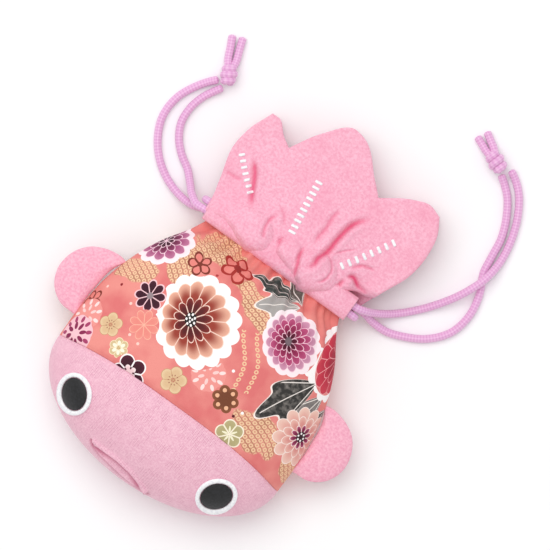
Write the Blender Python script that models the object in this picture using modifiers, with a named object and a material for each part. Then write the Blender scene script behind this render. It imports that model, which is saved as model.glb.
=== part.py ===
"""Goldfish-shaped kinchaku drawstring pouch, lying on its back on a table.

Metres, +Z up. The face panel points along -Y, the three-lobed tail along +Y, and +X is to the
right when the pouch is seen from above with its tail at the top. The table is z = 0.
"""

import math

import bpy
import numpy as np

# Cloth thicknesses and the gap that every two pieces keep
WALL = 0.0010
LINING_WALL = 0.0006
TAIL_WALL = 0.0020
GAP = 0.0003
SEAM_GAP = 0.00045  # half the gap along the side seam, wide enough for the Solidify's slanted rim

# The bag along Y: half width, crown above the side seam, belly below it, height of the side seam
BAG_STATIONS = np.array(
    [
        (-0.0500, 0.0510, 0.0215, 0.0170, 0.0150),
        (-0.0350, 0.0510, 0.0220, 0.0170, 0.0150),
        (-0.0120, 0.0470, 0.0220, 0.0165, 0.0150),
        (0.0030, 0.0405, 0.0195, 0.0150, 0.0140),
        (0.0130, 0.0340, 0.0150, 0.0125, 0.0122),
        (0.0187, 0.0312, 0.0112, 0.0103, 0.0110),
    ]
)
CHIN_START = -0.0500
CHIN_DEPTH = 0.0300
CROWN_POWERS = (2.4, 0.62)
BELLY_POWERS = (3.2, 0.60)
CHIN_POWERS = (2.3, 0.60)

# The curved seam between the pink face panel and the printed panel
FACE_SEAM_Y = -0.0450
FACE_SEAM_BEND = 0.0040
FACE_SEAM_HALF_GAP = 0.0003

# The neck: two cord channels, one on each side of the lining
NECK_SEAM_Z = 0.0110
CHANNEL_HALF_LENGTH = 0.0325
CHANNEL_Y = 0.0235
CHANNEL_WIDTH = 0.0090
CHANNEL_HEIGHT = 0.0052
CHANNEL_WALL = 0.0008
CHANNEL_REST = 0.0029  # height of the channel's middle over the side seam, at its ends
CHANNEL_RISE = 0.0046  # and how much higher it is halfway
NECK_LINING = (0.0235, 0.0040)  # half width and half height of the lining inside the channels
LINING_TOP_Y = 0.0275
LINING_INSET = 0.0018

# The tail's outline, seen from above
TAIL_BASE = (0.0318, 0.0288)
TAIL_LEFT_EDGE = [(-0.0365, 0.0355), (-0.0394, 0.0477), (-0.0385, 0.0559)]
TAIL_RIGHT_EDGE = [(0.0392, 0.0369), (0.0438, 0.0464), (0.0449, 0.0565), (0.0434, 0.0655)]
TAIL_LOBES = (
    [(-0.0345, 0.0665), (-0.0310, 0.0664), (-0.0262, 0.0622), (-0.0219, 0.0595)],
    [(-0.0219, 0.0595), (-0.0146, 0.0715), (-0.0056, 0.0799), (-0.0007, 0.0792), (0.0118, 0.0687), (0.0169, 0.0640)],
    [(0.0169, 0.0640), (0.0277, 0.0709), (0.0345, 0.0732), (0.0400, 0.0716)],
)
TAIL_TIP_Z = {"front": 0.0150, "back": 0.0028}

# Fins: the outline of the right one, as distances from the pouch's middle
FIN_OUTLINE = [
    (0.0520, -0.0395), (0.0575, -0.0391), (0.0635, -0.0352), (0.0664, -0.0290), (0.0658, -0.0220),
    (0.0620, -0.0158), (0.0555, -0.0122), (0.0484, -0.0114),
]
FIN_HALF_THICKNESS = 0.0010
FIN_EDGE_ROUND = 0.0004
FIN_Z = 0.0150
FIN_DROOP = math.radians(6)

# Eyes: a black oval with a raised embroidered edge
EYE_CENTRE = (0.0330, -0.0637)
EYE_TURN = math.radians(40)
EYE_HALF_SIZE = (0.0061, 0.00465)
EYE_EDGE_INNER = 0.00035
EYE_EDGE_OUTER = 0.0019
EYE_LIFT = 0.00040
EYE_THICKNESS = 0.0005
EYE_EDGE_THICKNESS = 0.0010

# Cords: the routes from the knot through both channels and back to the knot
CORD_RADIUS = 0.0015
CORD_ROW = {"left": CHANNEL_Y - 0.0017, "right": CHANNEL_Y + 0.0017}
LEFT_OUTER = [
    (-0.0589, 0.0650, 0.0028), (-0.0609, 0.0628, 0.0018), (-0.0645, 0.0576, 0.0016),
    (-0.0676, 0.0506, 0.0016), (-0.0680, 0.0414, 0.0016), (-0.0643, 0.0329, 0.0016),
    (-0.0588, 0.0268, 0.0016), (-0.0521, 0.0227, 0.0017), (-0.0445, 0.0205, 0.0033),
    (-0.0385, 0.0205, 0.0062),
]
LEFT_INNER = [
    (-0.0374, 0.0216, 0.0126), (-0.0413, 0.0235, 0.0090), (-0.0446, 0.0267, 0.0046),
    (-0.0482, 0.0302, 0.0020), (-0.0538, 0.0338, 0.0016), (-0.0579, 0.0379, 0.0016),
    (-0.0608, 0.0434, 0.0016), (-0.0613, 0.0496, 0.0016), (-0.0599, 0.0558, 0.0016),
    (-0.0577, 0.0602, 0.0018), (-0.0557, 0.0634, 0.0028),
]
RIGHT_UPPER = [
    (0.0517, 0.1021, 0.0028), (0.0546, 0.1005, 0.0018), (0.0593, 0.0966, 0.0016),
    (0.0637, 0.0900, 0.0016), (0.0676, 0.0795, 0.0016), (0.0688, 0.0708, 0.0022),
    (0.0680, 0.0630, 0.0045), (0.0650, 0.0548, 0.0052), (0.0600, 0.0460, 0.0033),
    (0.0545, 0.0388, 0.0017), (0.0480, 0.0322, 0.0026), (0.0415, 0.0277, 0.0075),
    (0.0368, 0.0257, 0.0128),
]
RIGHT_LOWER = [
    (0.0380, 0.0252, 0.0070), (0.0432, 0.0243, 0.0038), (0.0492, 0.0245, 0.0018),
    (0.0556, 0.0268, 0.0016), (0.0636, 0.0316, 0.0016), (0.0695, 0.0391, 0.0016),
    (0.0712, 0.0480, 0.0016), (0.0695, 0.0570, 0.0016), (0.0660, 0.0645, 0.0016),
    (0.0650, 0.0710, 0.0016), (0.0640, 0.0782, 0.0016), (0.0605, 0.0870, 0.0016),
    (0.0560, 0.0935, 0.0016), (0.0522, 0.0967, 0.0018), (0.0496, 0.0985, 0.0028),
]
CORD_LEAD = 0.0022  # how far a cord runs straight on past a channel's end
CORD_STEPS = 2  # tube points for each of the route's own points

# Knots: middle, half sizes, turn about Z, and the tip of the cord's two ends
KNOTS = {
    "left": ((-0.0568, 0.0689, 0.0040), (0.0034, 0.0047, 0.0036), math.radians(-14), (-0.0626, 0.0828)),
    "right": ((0.0452, 0.1014, 0.0040), (0.0054, 0.0037, 0.0036), math.radians(15), (0.0346, 0.1069)),
}
KNOT_END_SPREAD = 0.0017

COLOURS = {
    "face_cloth": (0.85, 0.43, 0.54, 1.0),
    "print_cloth": (0.80, 0.30, 0.24, 1.0),
    "crepe": (0.92, 0.42, 0.55, 1.0),
    "fin_cloth": (0.90, 0.39, 0.52, 1.0),
    "lining_cloth": (0.85, 0.62, 0.60, 1.0),
    "eye_black": (0.01, 0.01, 0.012, 1.0),
    "white_thread": (0.86, 0.86, 0.88, 1.0),
    "cord_rayon": (0.80, 0.42, 0.68, 1.0),
}
ROUGHNESS = {"eye_black": 0.25, "white_thread": 0.5, "cord_rayon": 0.5}
SHAPE_STEPS = 24  # samples of one curved edge


def clear_scene():
    for obj in list(bpy.data.objects):
        bpy.data.objects.remove(obj, do_unlink=True)


def new_collection(name, hidden=False):
    collection = bpy.data.collections.new(name)
    collection.hide_render = hidden
    bpy.context.scene.collection.children.link(collection)
    return collection


def material(slot):
    made = bpy.data.materials.get(slot) or bpy.data.materials.new(slot)
    made.use_nodes = True
    shader = made.node_tree.nodes["Principled BSDF"]
    shader.inputs["Base Color"].default_value = COLOURS[slot]
    shader.inputs["Roughness"].default_value = ROUGHNESS.get(slot, 0.85)
    shader.inputs["Metallic"].default_value = 0.0
    return made


def smooth(xs, ys, x):
    """The value at x of the curve through (xs, ys) whose slope at each point is that of its neighbours."""
    slopes = np.gradient(ys, xs)
    i = np.clip(np.searchsorted(xs, x) - 1, 0, len(xs) - 2)
    span = xs[i + 1] - xs[i]
    t = (x - xs[i]) / span
    start = ys[i] * (1 + 2 * t) * (1 - t) ** 2 + slopes[i] * span * t * (1 - t) ** 2
    end = ys[i + 1] * t * t * (3 - 2 * t) - slopes[i + 1] * span * t * t * (1 - t)
    return start + end


def smooth_route(points, at):
    """Places along the smooth curve through points, each given as a share of its length."""
    points = np.array(points)
    steps = np.linalg.norm(np.diff(points, axis=0), axis=1)
    along = np.concatenate([[0.0], np.cumsum(steps)])
    along /= along[-1]
    return np.stack([smooth(along, column, at) for column in points.T], axis=-1)


def bag_section(y, inset=0.0):
    """Half width, crown, belly and seam height of the bag at y, drawn in by inset."""
    y = np.asarray(y, float)
    stations = BAG_STATIONS[:, 0]
    width, crown, belly, seam = (
        smooth(stations, column, np.maximum(y, stations[0])) for column in BAG_STATIONS[:, 1:].T
    )
    past = np.clip((CHIN_START - y) / (CHIN_DEPTH - inset), 0.0, 1.0)
    power, root = CHIN_POWERS
    rounding = (1 - past**power) ** root
    width = (width - inset) * np.sqrt(1 - past**2)
    return width, (crown - inset) * rounding, (belly - inset) * rounding, seam


def bag_height(crown, belly, seam, s, side, gap=SEAM_GAP, floor=0.0):
    """Height of the bag's upper or lower surface at s, which runs from -1 to 1 between its side seams."""
    power, root = CROWN_POWERS if side == "front" else BELLY_POWERS
    shape = (1 - np.minimum(np.abs(s), 1.0) ** power) ** root
    if side == "front":
        return seam + gap + np.maximum(crown - gap, 0.0) * shape
    return np.maximum(seam - gap - np.maximum(belly - gap, 0.0) * shape, floor)


def bag_grid(y, s, side):
    """Points of the bag's outer surface at the rows y and the places s across it."""
    width, crown, belly, seam = bag_section(y)
    return np.stack([width * s, y, bag_height(crown, belly, seam, s, side)], axis=-1)


def add_mesh(collection, name, slot, points, faces):
    mesh = bpy.data.meshes.new(name)
    mesh.from_pydata([tuple(p) for p in points], [], faces)
    obj = bpy.data.objects.new(name, mesh)
    obj.data.materials.append(material(slot))
    collection.objects.link(obj)
    return obj


def add_sheet(collection, name, slot, grid, thickness, closed=False, flip=False):
    """A sheet of cloth: the grid of points as an open surface, thickened away from the side it faces."""
    rows, columns = grid.shape[:2]
    wraps = columns if closed else columns - 1
    faces = []
    for r in range(rows - 1):
        for c in range(wraps):
            after = (c + 1) % columns
            face = (r * columns + c, r * columns + after, (r + 1) * columns + after, (r + 1) * columns + c)
            faces.append(face[::-1] if flip else face)
    obj = add_mesh(collection, name, slot, grid.reshape(-1, 3), faces)
    weld = obj.modifiers.new("Weld", "WELD")
    weld.merge_threshold = 1e-5
    solidify = obj.modifiers.new("Solidify", "SOLIDIFY")
    solidify.thickness = thickness
    solidify.offset = -1.0
    return obj


def across(count):
    """Places from -1 to 1 that crowd towards the ends, where the bag turns over."""
    return np.sin(np.linspace(-math.pi / 2, math.pi / 2, count))


def seam_bend(s):
    return FACE_SEAM_BEND * np.abs(s) ** 3


def add_face_panel(collection, side):
    """The pink chin panel: rows run from the face seam to the chin, where they meet in a point."""
    s = across(17)[None, :]
    down = np.linspace(0.0, 1.0, 9)[:, None]
    start = FACE_SEAM_Y - FACE_SEAM_HALF_GAP - seam_bend(s)
    chin = CHIN_START - CHIN_DEPTH
    y = start + (chin - start) * np.sin(down * math.pi / 2)
    grid = bag_grid(y, s * np.ones_like(y), side)
    add_sheet(collection, "face_" + side, "face_cloth", grid, WALL, flip=side == "front")


def add_print_panel(collection, side):
    """The flowered panel, from the face seam to the gathers at the neck."""
    s = across(17)[None, :]
    up = np.linspace(0.0, 1.0, 10)[:, None]
    start = FACE_SEAM_Y + FACE_SEAM_HALF_GAP - seam_bend(s)
    neck = CHANNEL_Y - CHANNEL_WIDTH / 2 - GAP
    y = start + (neck - start) * up
    grid = bag_grid(y, s * np.ones_like(y), side)
    add_sheet(collection, "body_" + side, "print_cloth", grid, WALL, flip=side == "back")


def add_lining(collection):
    """The inner bag, one closed ring after another from the mouth of the neck down to the chin."""
    angle = np.linspace(0.0, 2 * math.pi, 32, endpoint=False)[None, :]
    s = -np.cos(angle)
    upper = np.sin(angle) > 0
    chin_rows = np.sin(np.linspace(0.0, math.pi / 2, 6))[1:] * (CHIN_DEPTH - LINING_INSET)
    rows = np.concatenate([np.linspace(LINING_TOP_Y, CHIN_START, 11), CHIN_START - chin_rows])
    y = rows[:, None] * np.ones_like(s)
    width, crown, belly, seam = bag_section(np.minimum(y, BAG_STATIONS[-1, 0]), LINING_INSET)
    to_neck = np.clip(y / BAG_STATIONS[-1, 0], 0.0, 1.0)
    to_neck = to_neck * to_neck * (3 - 2 * to_neck)
    half_width, half_height = NECK_LINING
    width += (half_width - width) * to_neck
    crown += (half_height - crown) * to_neck
    belly += (half_height - belly) * to_neck
    top = bag_height(crown, belly, seam, s, "front", gap=0.0)
    bottom = bag_height(crown, belly, seam, s, "back", gap=0.0, floor=LINING_INSET)
    z = np.where(upper, top, bottom)
    grid = np.stack([width * s, y, z], axis=-1)
    add_sheet(collection, "lining", "lining_cloth", grid, LINING_WALL, closed=True, flip=True)


def channel_middle(x, side):
    """Height of a cord channel's middle at x."""
    share = np.clip(np.abs(x) / CHANNEL_HALF_LENGTH, 0.0, 1.0)
    rise = CHANNEL_REST + CHANNEL_RISE * np.cos(share * math.pi / 2)
    return NECK_SEAM_Z + (rise if side == "front" else -rise)


def add_channel(collection, side):
    """A flat sleeve of crepe around the neck, open at both ends for the cords."""
    corner = 0.0012
    half_y, half_z = CHANNEL_WIDTH / 2 - corner, CHANNEL_HEIGHT / 2 - corner
    quarter = np.repeat(np.arange(4), 3)
    angle = np.radians(quarter * 90 + np.tile([0, 45, 90], 4))
    ring_y = CHANNEL_Y + np.array([1, -1, -1, 1])[quarter] * half_y + corner * np.cos(angle)
    ring_z = np.array([1, 1, -1, -1])[quarter] * half_z + corner * np.sin(angle)
    x = np.linspace(-CHANNEL_HALF_LENGTH, CHANNEL_HALF_LENGTH, 15)[:, None] * np.ones_like(ring_y)
    grid = np.stack([x, ring_y * np.ones_like(x), channel_middle(x, side) + ring_z], axis=-1)
    add_sheet(collection, "channel_" + side, "crepe", grid, CHANNEL_WALL, closed=True)


def tail_edges():
    """The tail's four edges as functions of a share from 0 to 1: base, lobes, left and right."""
    base = np.array([(-TAIL_BASE[0], TAIL_BASE[1]), (TAIL_BASE[0], TAIL_BASE[1])])
    left = [tuple(base[0])] + TAIL_LEFT_EDGE + [TAIL_LOBES[0][0]]
    right = [tuple(base[1])] + TAIL_RIGHT_EDGE + [TAIL_LOBES[2][-1]]
    lobe_share = np.linspace(0.0, 1.0, 9)
    lobes = [smooth_route(points, lobe_share) for points in TAIL_LOBES]
    return base, np.concatenate([lobes[0], lobes[1][1:], lobes[2][1:]]), left, right


def add_tail(collection, side):
    """Three crepe lobes, gathered where they leave the channel: a sheet stretched between its four edges."""
    base, lobes, left, right = tail_edges()
    u = np.linspace(0.0, 1.0, len(lobes))[None, :, None]
    v = np.linspace(0.0, 1.0, 8)[:, None, None]
    low = base[0] + (base[1] - base[0]) * u
    high = lobes[None]
    start = smooth_route(left, v[:, 0, 0])[:, None]
    end = smooth_route(right, v[:, 0, 0])[:, None]
    corners = (1 - v) * ((1 - u) * low[:, :1] + u * low[:, -1:]) + v * ((1 - u) * high[:, :1] + u * high[:, -1:])
    flat = (1 - v) * low + v * high + (1 - u) * start + u * end - corners
    root_z = channel_middle(low[..., 0], side)
    z = root_z + (TAIL_TIP_Z[side] - root_z) * v[..., 0] * np.ones_like(flat[..., 0])
    z += TAIL_WALL / 2
    grid = np.concatenate([flat, z[..., None]], axis=-1)
    add_sheet(collection, "tail_" + side, "crepe", grid, TAIL_WALL)


def add_fin(collection, side):
    """A turned and padded petal, caught in the side seam."""
    sign = -1 if side == "left" else 1
    curve = bpy.data.curves.new("fin_" + side, "CURVE")
    curve.dimensions = "2D"
    curve.fill_mode = "BOTH"
    curve.extrude = FIN_HALF_THICKNESS - FIN_EDGE_ROUND
    curve.bevel_depth = FIN_EDGE_ROUND
    curve.bevel_resolution = 1
    hinge_x, hinge_y = FIN_OUTLINE[0][0], -0.026
    outline = smooth_route(FIN_OUTLINE, np.linspace(0.0, 1.0, SHAPE_STEPS))
    seam_y = np.linspace(FIN_OUTLINE[-1][1], FIN_OUTLINE[0][1], 7)[1:-1]
    seam_x = bag_section(seam_y)[0] + 2 * GAP + FIN_EDGE_ROUND
    edge = np.concatenate([outline, np.stack([seam_x, seam_y], axis=-1)])
    spline = curve.splines.new("POLY")
    spline.points.add(len(edge) - 1)
    for point, (x, y) in zip(spline.points, edge):
        point.co = (sign * (x - hinge_x), y - hinge_y, 0.0, 1.0)
    spline.use_cyclic_u = True
    fin = bpy.data.objects.new("fin_" + side, curve)
    fin.location = (sign * hinge_x, hinge_y, FIN_Z)
    fin.rotation_euler = (0.0, sign * FIN_DROOP, 0.0)
    curve.materials.append(material("fin_cloth"))
    collection.objects.link(fin)


def on_face(x, y, lift):
    """Points that lie on the front of the bag at (x, y), raised by lift."""
    width, crown, belly, seam = bag_section(y)
    z = bag_height(crown, belly, seam, x / width, "front") + lift
    return np.stack([x, y, z], axis=-1)


def eye_grid(sign, growths, count=20):
    """Rings of points around an eye: each grows the oval by an amount, and -1 stands for its middle."""
    angle = np.linspace(0.0, 2 * math.pi, count, endpoint=False)[None, :]
    growth = np.array(growths)[:, None]
    share = np.where(growth == -1, 0.0, 1.0)
    a = (EYE_HALF_SIZE[0] + growth) * share * np.cos(angle)
    b = (EYE_HALF_SIZE[1] + growth) * share * np.sin(angle)
    turn = math.pi / 2 - EYE_TURN
    x = EYE_CENTRE[0] + a * math.cos(turn) - b * math.sin(turn)
    y = EYE_CENTRE[1] + a * math.sin(turn) + b * math.cos(turn)
    return on_face(sign * x, y, EYE_LIFT)


def add_eye(collection, side):
    """A black oval patch and the satin-stitched edge around it, both lying on the face panel."""
    sign = -1 if side == "left" else 1
    half_way = -EYE_HALF_SIZE[1] / 2
    patch = eye_grid(sign, (-1, half_way, 0.0))
    edge = eye_grid(sign, (EYE_EDGE_INNER, (EYE_EDGE_INNER + EYE_EDGE_OUTER) / 2, EYE_EDGE_OUTER))
    for name, slot, grid, thickness in (
        ("eye_patch_" + side, "eye_black", patch, EYE_THICKNESS),
        ("eye_edge_" + side, "white_thread", edge, EYE_EDGE_THICKNESS),
    ):
        obj = add_sheet(collection, name, slot, grid, thickness, closed=True, flip=sign > 0)
        obj.modifiers["Solidify"].offset = 1.0


def channel_run(side, start_x):
    """A cord's way in at one end of the front channel, round the far end, and out of the back channel."""
    sign = math.copysign(1.0, start_x)
    y = CORD_ROW[side]
    half = sign * CHANNEL_HALF_LENGTH
    inside = np.concatenate([[start_x], np.linspace(half, -half, 7), [-start_x]])
    front = [(x, y, float(channel_middle(x, "front"))) for x in inside]
    back = [(x, y, float(channel_middle(x, "back"))) for x in inside[::-1]]
    turns = []
    for degrees in (45, 90, 135):
        angle = math.radians(degrees)
        x = -start_x - sign * CHANNEL_REST * math.sin(angle)
        turns.append((x, y, NECK_SEAM_Z + CHANNEL_REST * math.cos(angle)))
    return front + turns + back


def add_tube(collection, name, points):
    """A round tube along the smooth curve through the points."""
    count = CORD_STEPS * (len(points) - 1) + 1
    route = np.array(points)
    steps = np.linalg.norm(np.diff(route, axis=0), axis=1)
    along = np.concatenate([[0.0], np.cumsum(steps)])
    at = np.interp(np.linspace(0, len(points) - 1, count), np.arange(len(points)), along / along[-1])
    smooth_points = smooth_route(points, at)
    curve = bpy.data.curves.new(name, "CURVE")
    curve.dimensions = "3D"
    curve.bevel_depth = CORD_RADIUS
    curve.bevel_resolution = 2
    curve.use_fill_caps = True
    spline = curve.splines.new("POLY")
    spline.points.add(len(smooth_points) - 1)
    for point, place in zip(spline.points, smooth_points):
        point.co = (*place, 1.0)
    curve.materials.append(material("cord_rayon"))
    obj = bpy.data.objects.new(name, curve)
    collection.objects.link(obj)
    return obj


def add_cords(collection):
    start = -CHANNEL_HALF_LENGTH - CORD_LEAD
    left = LEFT_OUTER + channel_run("left", start)[::-1] + LEFT_INNER
    right = RIGHT_LOWER[::-1] + channel_run("right", -start)[::-1] + RIGHT_UPPER[::-1]
    add_tube(collection, "cord_left", left)
    add_tube(collection, "cord_right", right)


def join(target, cutter):
    union = target.modifiers.new("Join " + cutter.name, "BOOLEAN")
    union.operation = "UNION"
    union.solver = "EXACT"
    union.object = cutter


def as_mesh(obj, collection):
    """The evaluated shape of a curve as a mesh object of the same name, in collection."""
    graph = bpy.context.evaluated_depsgraph_get()
    mesh = bpy.data.meshes.new_from_object(obj.evaluated_get(graph))
    name = obj.name
    bpy.data.objects.remove(obj, do_unlink=True)
    made = bpy.data.objects.new(name, mesh)
    collection.objects.link(made)
    return made


def add_knot(collection, helpers, side):
    """The overhand knot in both ends of a cord, with the two ends side by side beyond it."""
    middle, half_sizes, turn, tip = KNOTS[side]
    bpy.ops.mesh.primitive_uv_sphere_add(segments=16, ring_count=10, radius=1.0, location=middle)
    knot = bpy.context.object
    knot.name = "knot_" + side
    knot.scale = half_sizes
    knot.rotation_euler = (0.0, 0.0, turn)
    for owner in list(knot.users_collection):
        owner.objects.unlink(knot)
    collection.objects.link(knot)
    knot.data.materials.append(material("cord_rayon"))
    ahead = np.array(tip) - np.array(middle[:2])
    ahead /= np.linalg.norm(ahead)
    aside = np.array([-ahead[1], ahead[0]]) * KNOT_END_SPREAD
    for index, sign in enumerate((-1, 1)):
        near = (*(np.array(middle[:2]) + sign * aside), middle[2] - 0.0010)
        half = (*((np.array(middle[:2]) + np.array(tip)) / 2 + sign * aside), CORD_RADIUS + 0.0006)
        far = (*(np.array(tip) + sign * aside), CORD_RADIUS + 0.0001)
        tube = add_tube(helpers, f"{side}_end_{index}", [near, half, far])
        bpy.context.view_layer.update()
        cutter = as_mesh(tube, helpers)
        cutter.hide_render = True
        cutter.display_type = "WIRE"
        join(knot, cutter)


def main():
    clear_scene()
    pouch = new_collection("kinchaku_pouch")
    helpers = new_collection("knot_helpers", hidden=True)
    for side in ("front", "back"):
        add_face_panel(pouch, side)
        add_print_panel(pouch, side)
        add_channel(pouch, side)
        add_tail(pouch, side)
    add_lining(pouch)
    for side in ("left", "right"):
        add_fin(pouch, side)
        add_eye(pouch, side)
        add_knot(pouch, helpers, side)
    add_cords(pouch)


main()
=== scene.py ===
"""The looks of a goldfish-shaped kinchaku drawstring pouch that lies on its back on a table.

Metres, +Z up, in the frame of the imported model. The face points along -Y and the tail along +Y.
Lists of places are in millimetres as seen from above, and MM turns them to metres.
"""

import math

import bpy
import numpy as np
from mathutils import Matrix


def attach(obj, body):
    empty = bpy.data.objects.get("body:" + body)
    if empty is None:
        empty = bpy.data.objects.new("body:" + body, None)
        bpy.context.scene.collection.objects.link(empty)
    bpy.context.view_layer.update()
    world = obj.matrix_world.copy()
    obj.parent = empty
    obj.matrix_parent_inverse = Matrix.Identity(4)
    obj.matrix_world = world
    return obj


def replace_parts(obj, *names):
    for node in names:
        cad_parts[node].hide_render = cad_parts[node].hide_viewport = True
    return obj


MM = 0.001

# Camera: straight above the pouch, turned so that the face points to the lower left
CAMERA_AIM = (0.0021, 0.0172)
CAMERA_TURN = math.radians(35.8)
CAMERA_HEIGHT = 6.0
VIEW_WIDTH = 0.2095
SENSOR_WIDTH = 36.0

# Cords: 3 mm braided rayon
CORD_RADIUS = 0.0015
CORD_FACETS = 20
CORD_STEP = 0.0003
BRAID_PITCH = 0.0024  # along the cord, for one crossing of its strands
BRAID_RELIEF = 0.00010
LEFT_OUTER = [
    (-58.9, 65.0, 2.8), (-60.9, 62.8, 1.8), (-64.5, 57.6, 1.6), (-67.6, 50.6, 1.6), (-68.0, 41.4, 1.6),
    (-64.3, 32.9, 1.6), (-58.8, 26.8, 1.6), (-52.1, 22.7, 1.7), (-44.5, 20.5, 3.3), (-38.5, 20.5, 6.2),
    (-34.7, 21.8, 8.1), (-31.0, 21.8, 7.9),
]
LEFT_INNER = [
    (-31.0, 21.8, 14.2), (-34.7, 21.8, 13.9), (-37.4, 21.6, 12.6), (-41.3, 23.5, 9.0), (-44.6, 26.7, 4.6),
    (-48.2, 30.2, 2.0), (-53.8, 33.8, 1.6), (-57.9, 37.9, 1.6), (-60.8, 43.4, 1.6), (-61.3, 49.6, 1.6),
    (-59.9, 55.8, 1.6), (-57.7, 60.2, 1.8), (-55.7, 63.4, 2.8),
]
RIGHT_UPPER = [
    (51.7, 102.1, 2.8), (54.6, 100.5, 1.8), (59.3, 96.6, 1.6), (63.7, 90.0, 1.6), (67.6, 79.5, 1.6),
    (68.8, 70.8, 2.2), (68.0, 63.0, 4.5), (65.0, 54.8, 5.2), (60.0, 46.0, 3.3), (54.5, 38.8, 1.7),
    (48.0, 32.2, 2.6), (41.5, 27.7, 7.5), (36.8, 25.7, 12.8), (34.7, 25.2, 13.9), (31.0, 25.2, 14.2),
]
RIGHT_LOWER = [
    (31.0, 25.2, 7.9), (34.7, 25.2, 8.1), (38.0, 25.2, 7.0), (43.2, 24.3, 3.8), (49.2, 24.5, 1.8),
    (55.6, 26.8, 1.6), (63.6, 31.6, 1.6), (69.5, 39.1, 1.6), (71.2, 48.0, 1.6), (69.5, 57.0, 1.6),
    (66.0, 64.5, 1.6), (65.0, 71.0, 1.6), (64.0, 78.2, 1.6), (60.5, 87.0, 1.6), (56.0, 93.5, 1.6),
    (52.2, 96.7, 1.8), (49.6, 98.5, 2.8),
]
# Knots: middle, tip of the two ends, length and width of the wraps
KNOTS = {
    "left": ((-56.8, 68.9, 4.0), (-62.6, 82.8), 8.6, 6.8),
    "right": ((45.2, 101.4, 4.0), (34.6, 106.9), 9.6, 7.2),
}

# The bag along Y: half width, crown above the side seam, belly below it, height of the side seam
BAG_STATIONS = np.array(
    [
        (-0.0500, 0.0510, 0.0215, 0.0170, 0.0150),
        (-0.0350, 0.0510, 0.0220, 0.0170, 0.0150),
        (-0.0120, 0.0470, 0.0220, 0.0165, 0.0150),
        (0.0030, 0.0405, 0.0195, 0.0150, 0.0140),
        (0.0130, 0.0340, 0.0150, 0.0125, 0.0122),
        (0.0187, 0.0312, 0.0112, 0.0103, 0.0110),
        (0.0265, 0.0282, 0.0085, 0.0085, 0.0110),
    ]
)
CHIN_START = -0.0500
CHIN_DEPTH = 0.0300
CROWN_POWERS = (2.4, 0.62)
BELLY_POWERS = (3.2, 0.60)
CHIN_POWERS = (2.3, 0.60)
SEAM_GAP = 0.0001
CLOTH_WALL = 0.0008
FACE_SEAM_Y = -0.0450
FACE_SEAM_BEND = 0.0040
BODY_TOP_Y = {"front": 0.0262, "back": 0.0187}

# Neck and tail
NECK_SEAM_Z = 0.0110
CHANNEL_HALF_LENGTH = 0.0325
CHANNEL_Y = 0.0235
CHANNEL_REST = 0.0029
CHANNEL_RISE = 0.0046
CHANNEL_HALF_HEIGHT = 0.0026
CREPE_BOTTOM = {
    "front": [
        (-34.0, 20.2), (-31.5, 20.2), (-28.2, 21.1), (-25.0, 21.6), (-22.0, 21.2), (-18.8, 19.8), (-15.6, 18.8),
        (-13.4, 18.0), (-11.2, 18.1), (-8.1, 19.2), (-3.9, 21.0), (-3.3, 23.2), (-0.5, 22.8), (2.5, 21.8),
        (6.3, 19.8), (10.2, 18.7), (11.6, 17.0), (14.0, 16.9), (17.0, 18.8), (21.2, 21.8), (25.4, 24.6),
        (27.2, 27.6), (30.6, 30.0), (34.4, 30.6), (37.8, 32.2),
    ],
    "back": [
        (-34.0, 20.2), (-29.0, 18.6), (-24.0, 17.9), (-19.0, 18.4), (-14.0, 17.3), (-9.0, 18.2), (-4.0, 17.2),
        (1.0, 18.2), (6.0, 17.2), (11.0, 18.3), (16.0, 17.4), (21.0, 18.4), (26.0, 18.0), (31.0, 19.6), (34.0, 22.0),
    ],
}
CREPE_LEFT = [(-34.0, 20.2), (-34.6, 27.5), (-36.5, 35.5), (-39.4, 47.7), (-38.5, 55.9), (-34.5, 66.5)]
CREPE_RIGHT = {
    "front": [(37.8, 32.2), (39.8, 36.9), (43.8, 46.4), (44.9, 56.5), (43.4, 65.5), (40.0, 71.6)],
    "back": [(34.0, 22.0), (36.3, 29.0), (39.8, 36.9), (43.8, 46.4), (44.9, 56.5), (43.4, 65.5), (40.0, 71.6)],
}
TAIL_LOBES = (
    [(-34.5, 66.5), (-31.0, 66.4), (-26.2, 62.2), (-21.9, 59.5)],
    [(-21.9, 59.5), (-14.6, 71.5), (-5.6, 79.9), (-0.7, 79.2), (11.8, 68.7), (16.9, 64.0)],
    [(16.9, 64.0), (27.7, 70.9), (34.5, 73.2), (40.0, 71.6)],
)
TAIL_TIP_Z = {"front": 0.0158, "back": 0.0030}

# Fins: the outline of the right one
FIN_OUTLINE = [
    (50.0, -39.8), (52.0, -39.5), (57.5, -39.1), (63.5, -35.2), (66.4, -29.0), (65.8, -22.0), (62.0, -15.8),
    (55.5, -12.2), (48.4, -11.4), (46.6, -11.8),
]

# Eyes
EYE_CENTRE = (0.0330, -0.0637)
EYE_TURN = math.radians(40)
EYE_HALF_SIZE = (0.0061, 0.00465)


def colour(hex_value):
    """The linear RGBA colour of an sRGB hex value such as "EFBBCB"."""
    channels = np.array([int(hex_value[i : i + 2], 16) for i in (0, 2, 4)]) / 255
    linear = np.where(channels <= 0.04045, channels / 12.92, ((channels + 0.055) / 1.055) ** 2.4)
    return (*linear.tolist(), 1.0)


def add(tree, kind, inputs=(), out=0, **settings):
    """Adds one shader node. inputs gives each socket a value or another node's socket."""
    node = tree.nodes.new("ShaderNode" + kind)
    for name, value in settings.items():
        setattr(node, name, value)
    for key, value in dict(inputs).items():
        if isinstance(value, bpy.types.NodeSocket):
            tree.links.new(value, node.inputs[key])
        else:
            node.inputs[key].default_value = value
    return node.outputs[out]


def new_material(name):
    made = bpy.data.materials.new(name)
    made.use_nodes = True
    return made, made.node_tree, made.node_tree.nodes["Principled BSDF"]


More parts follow.
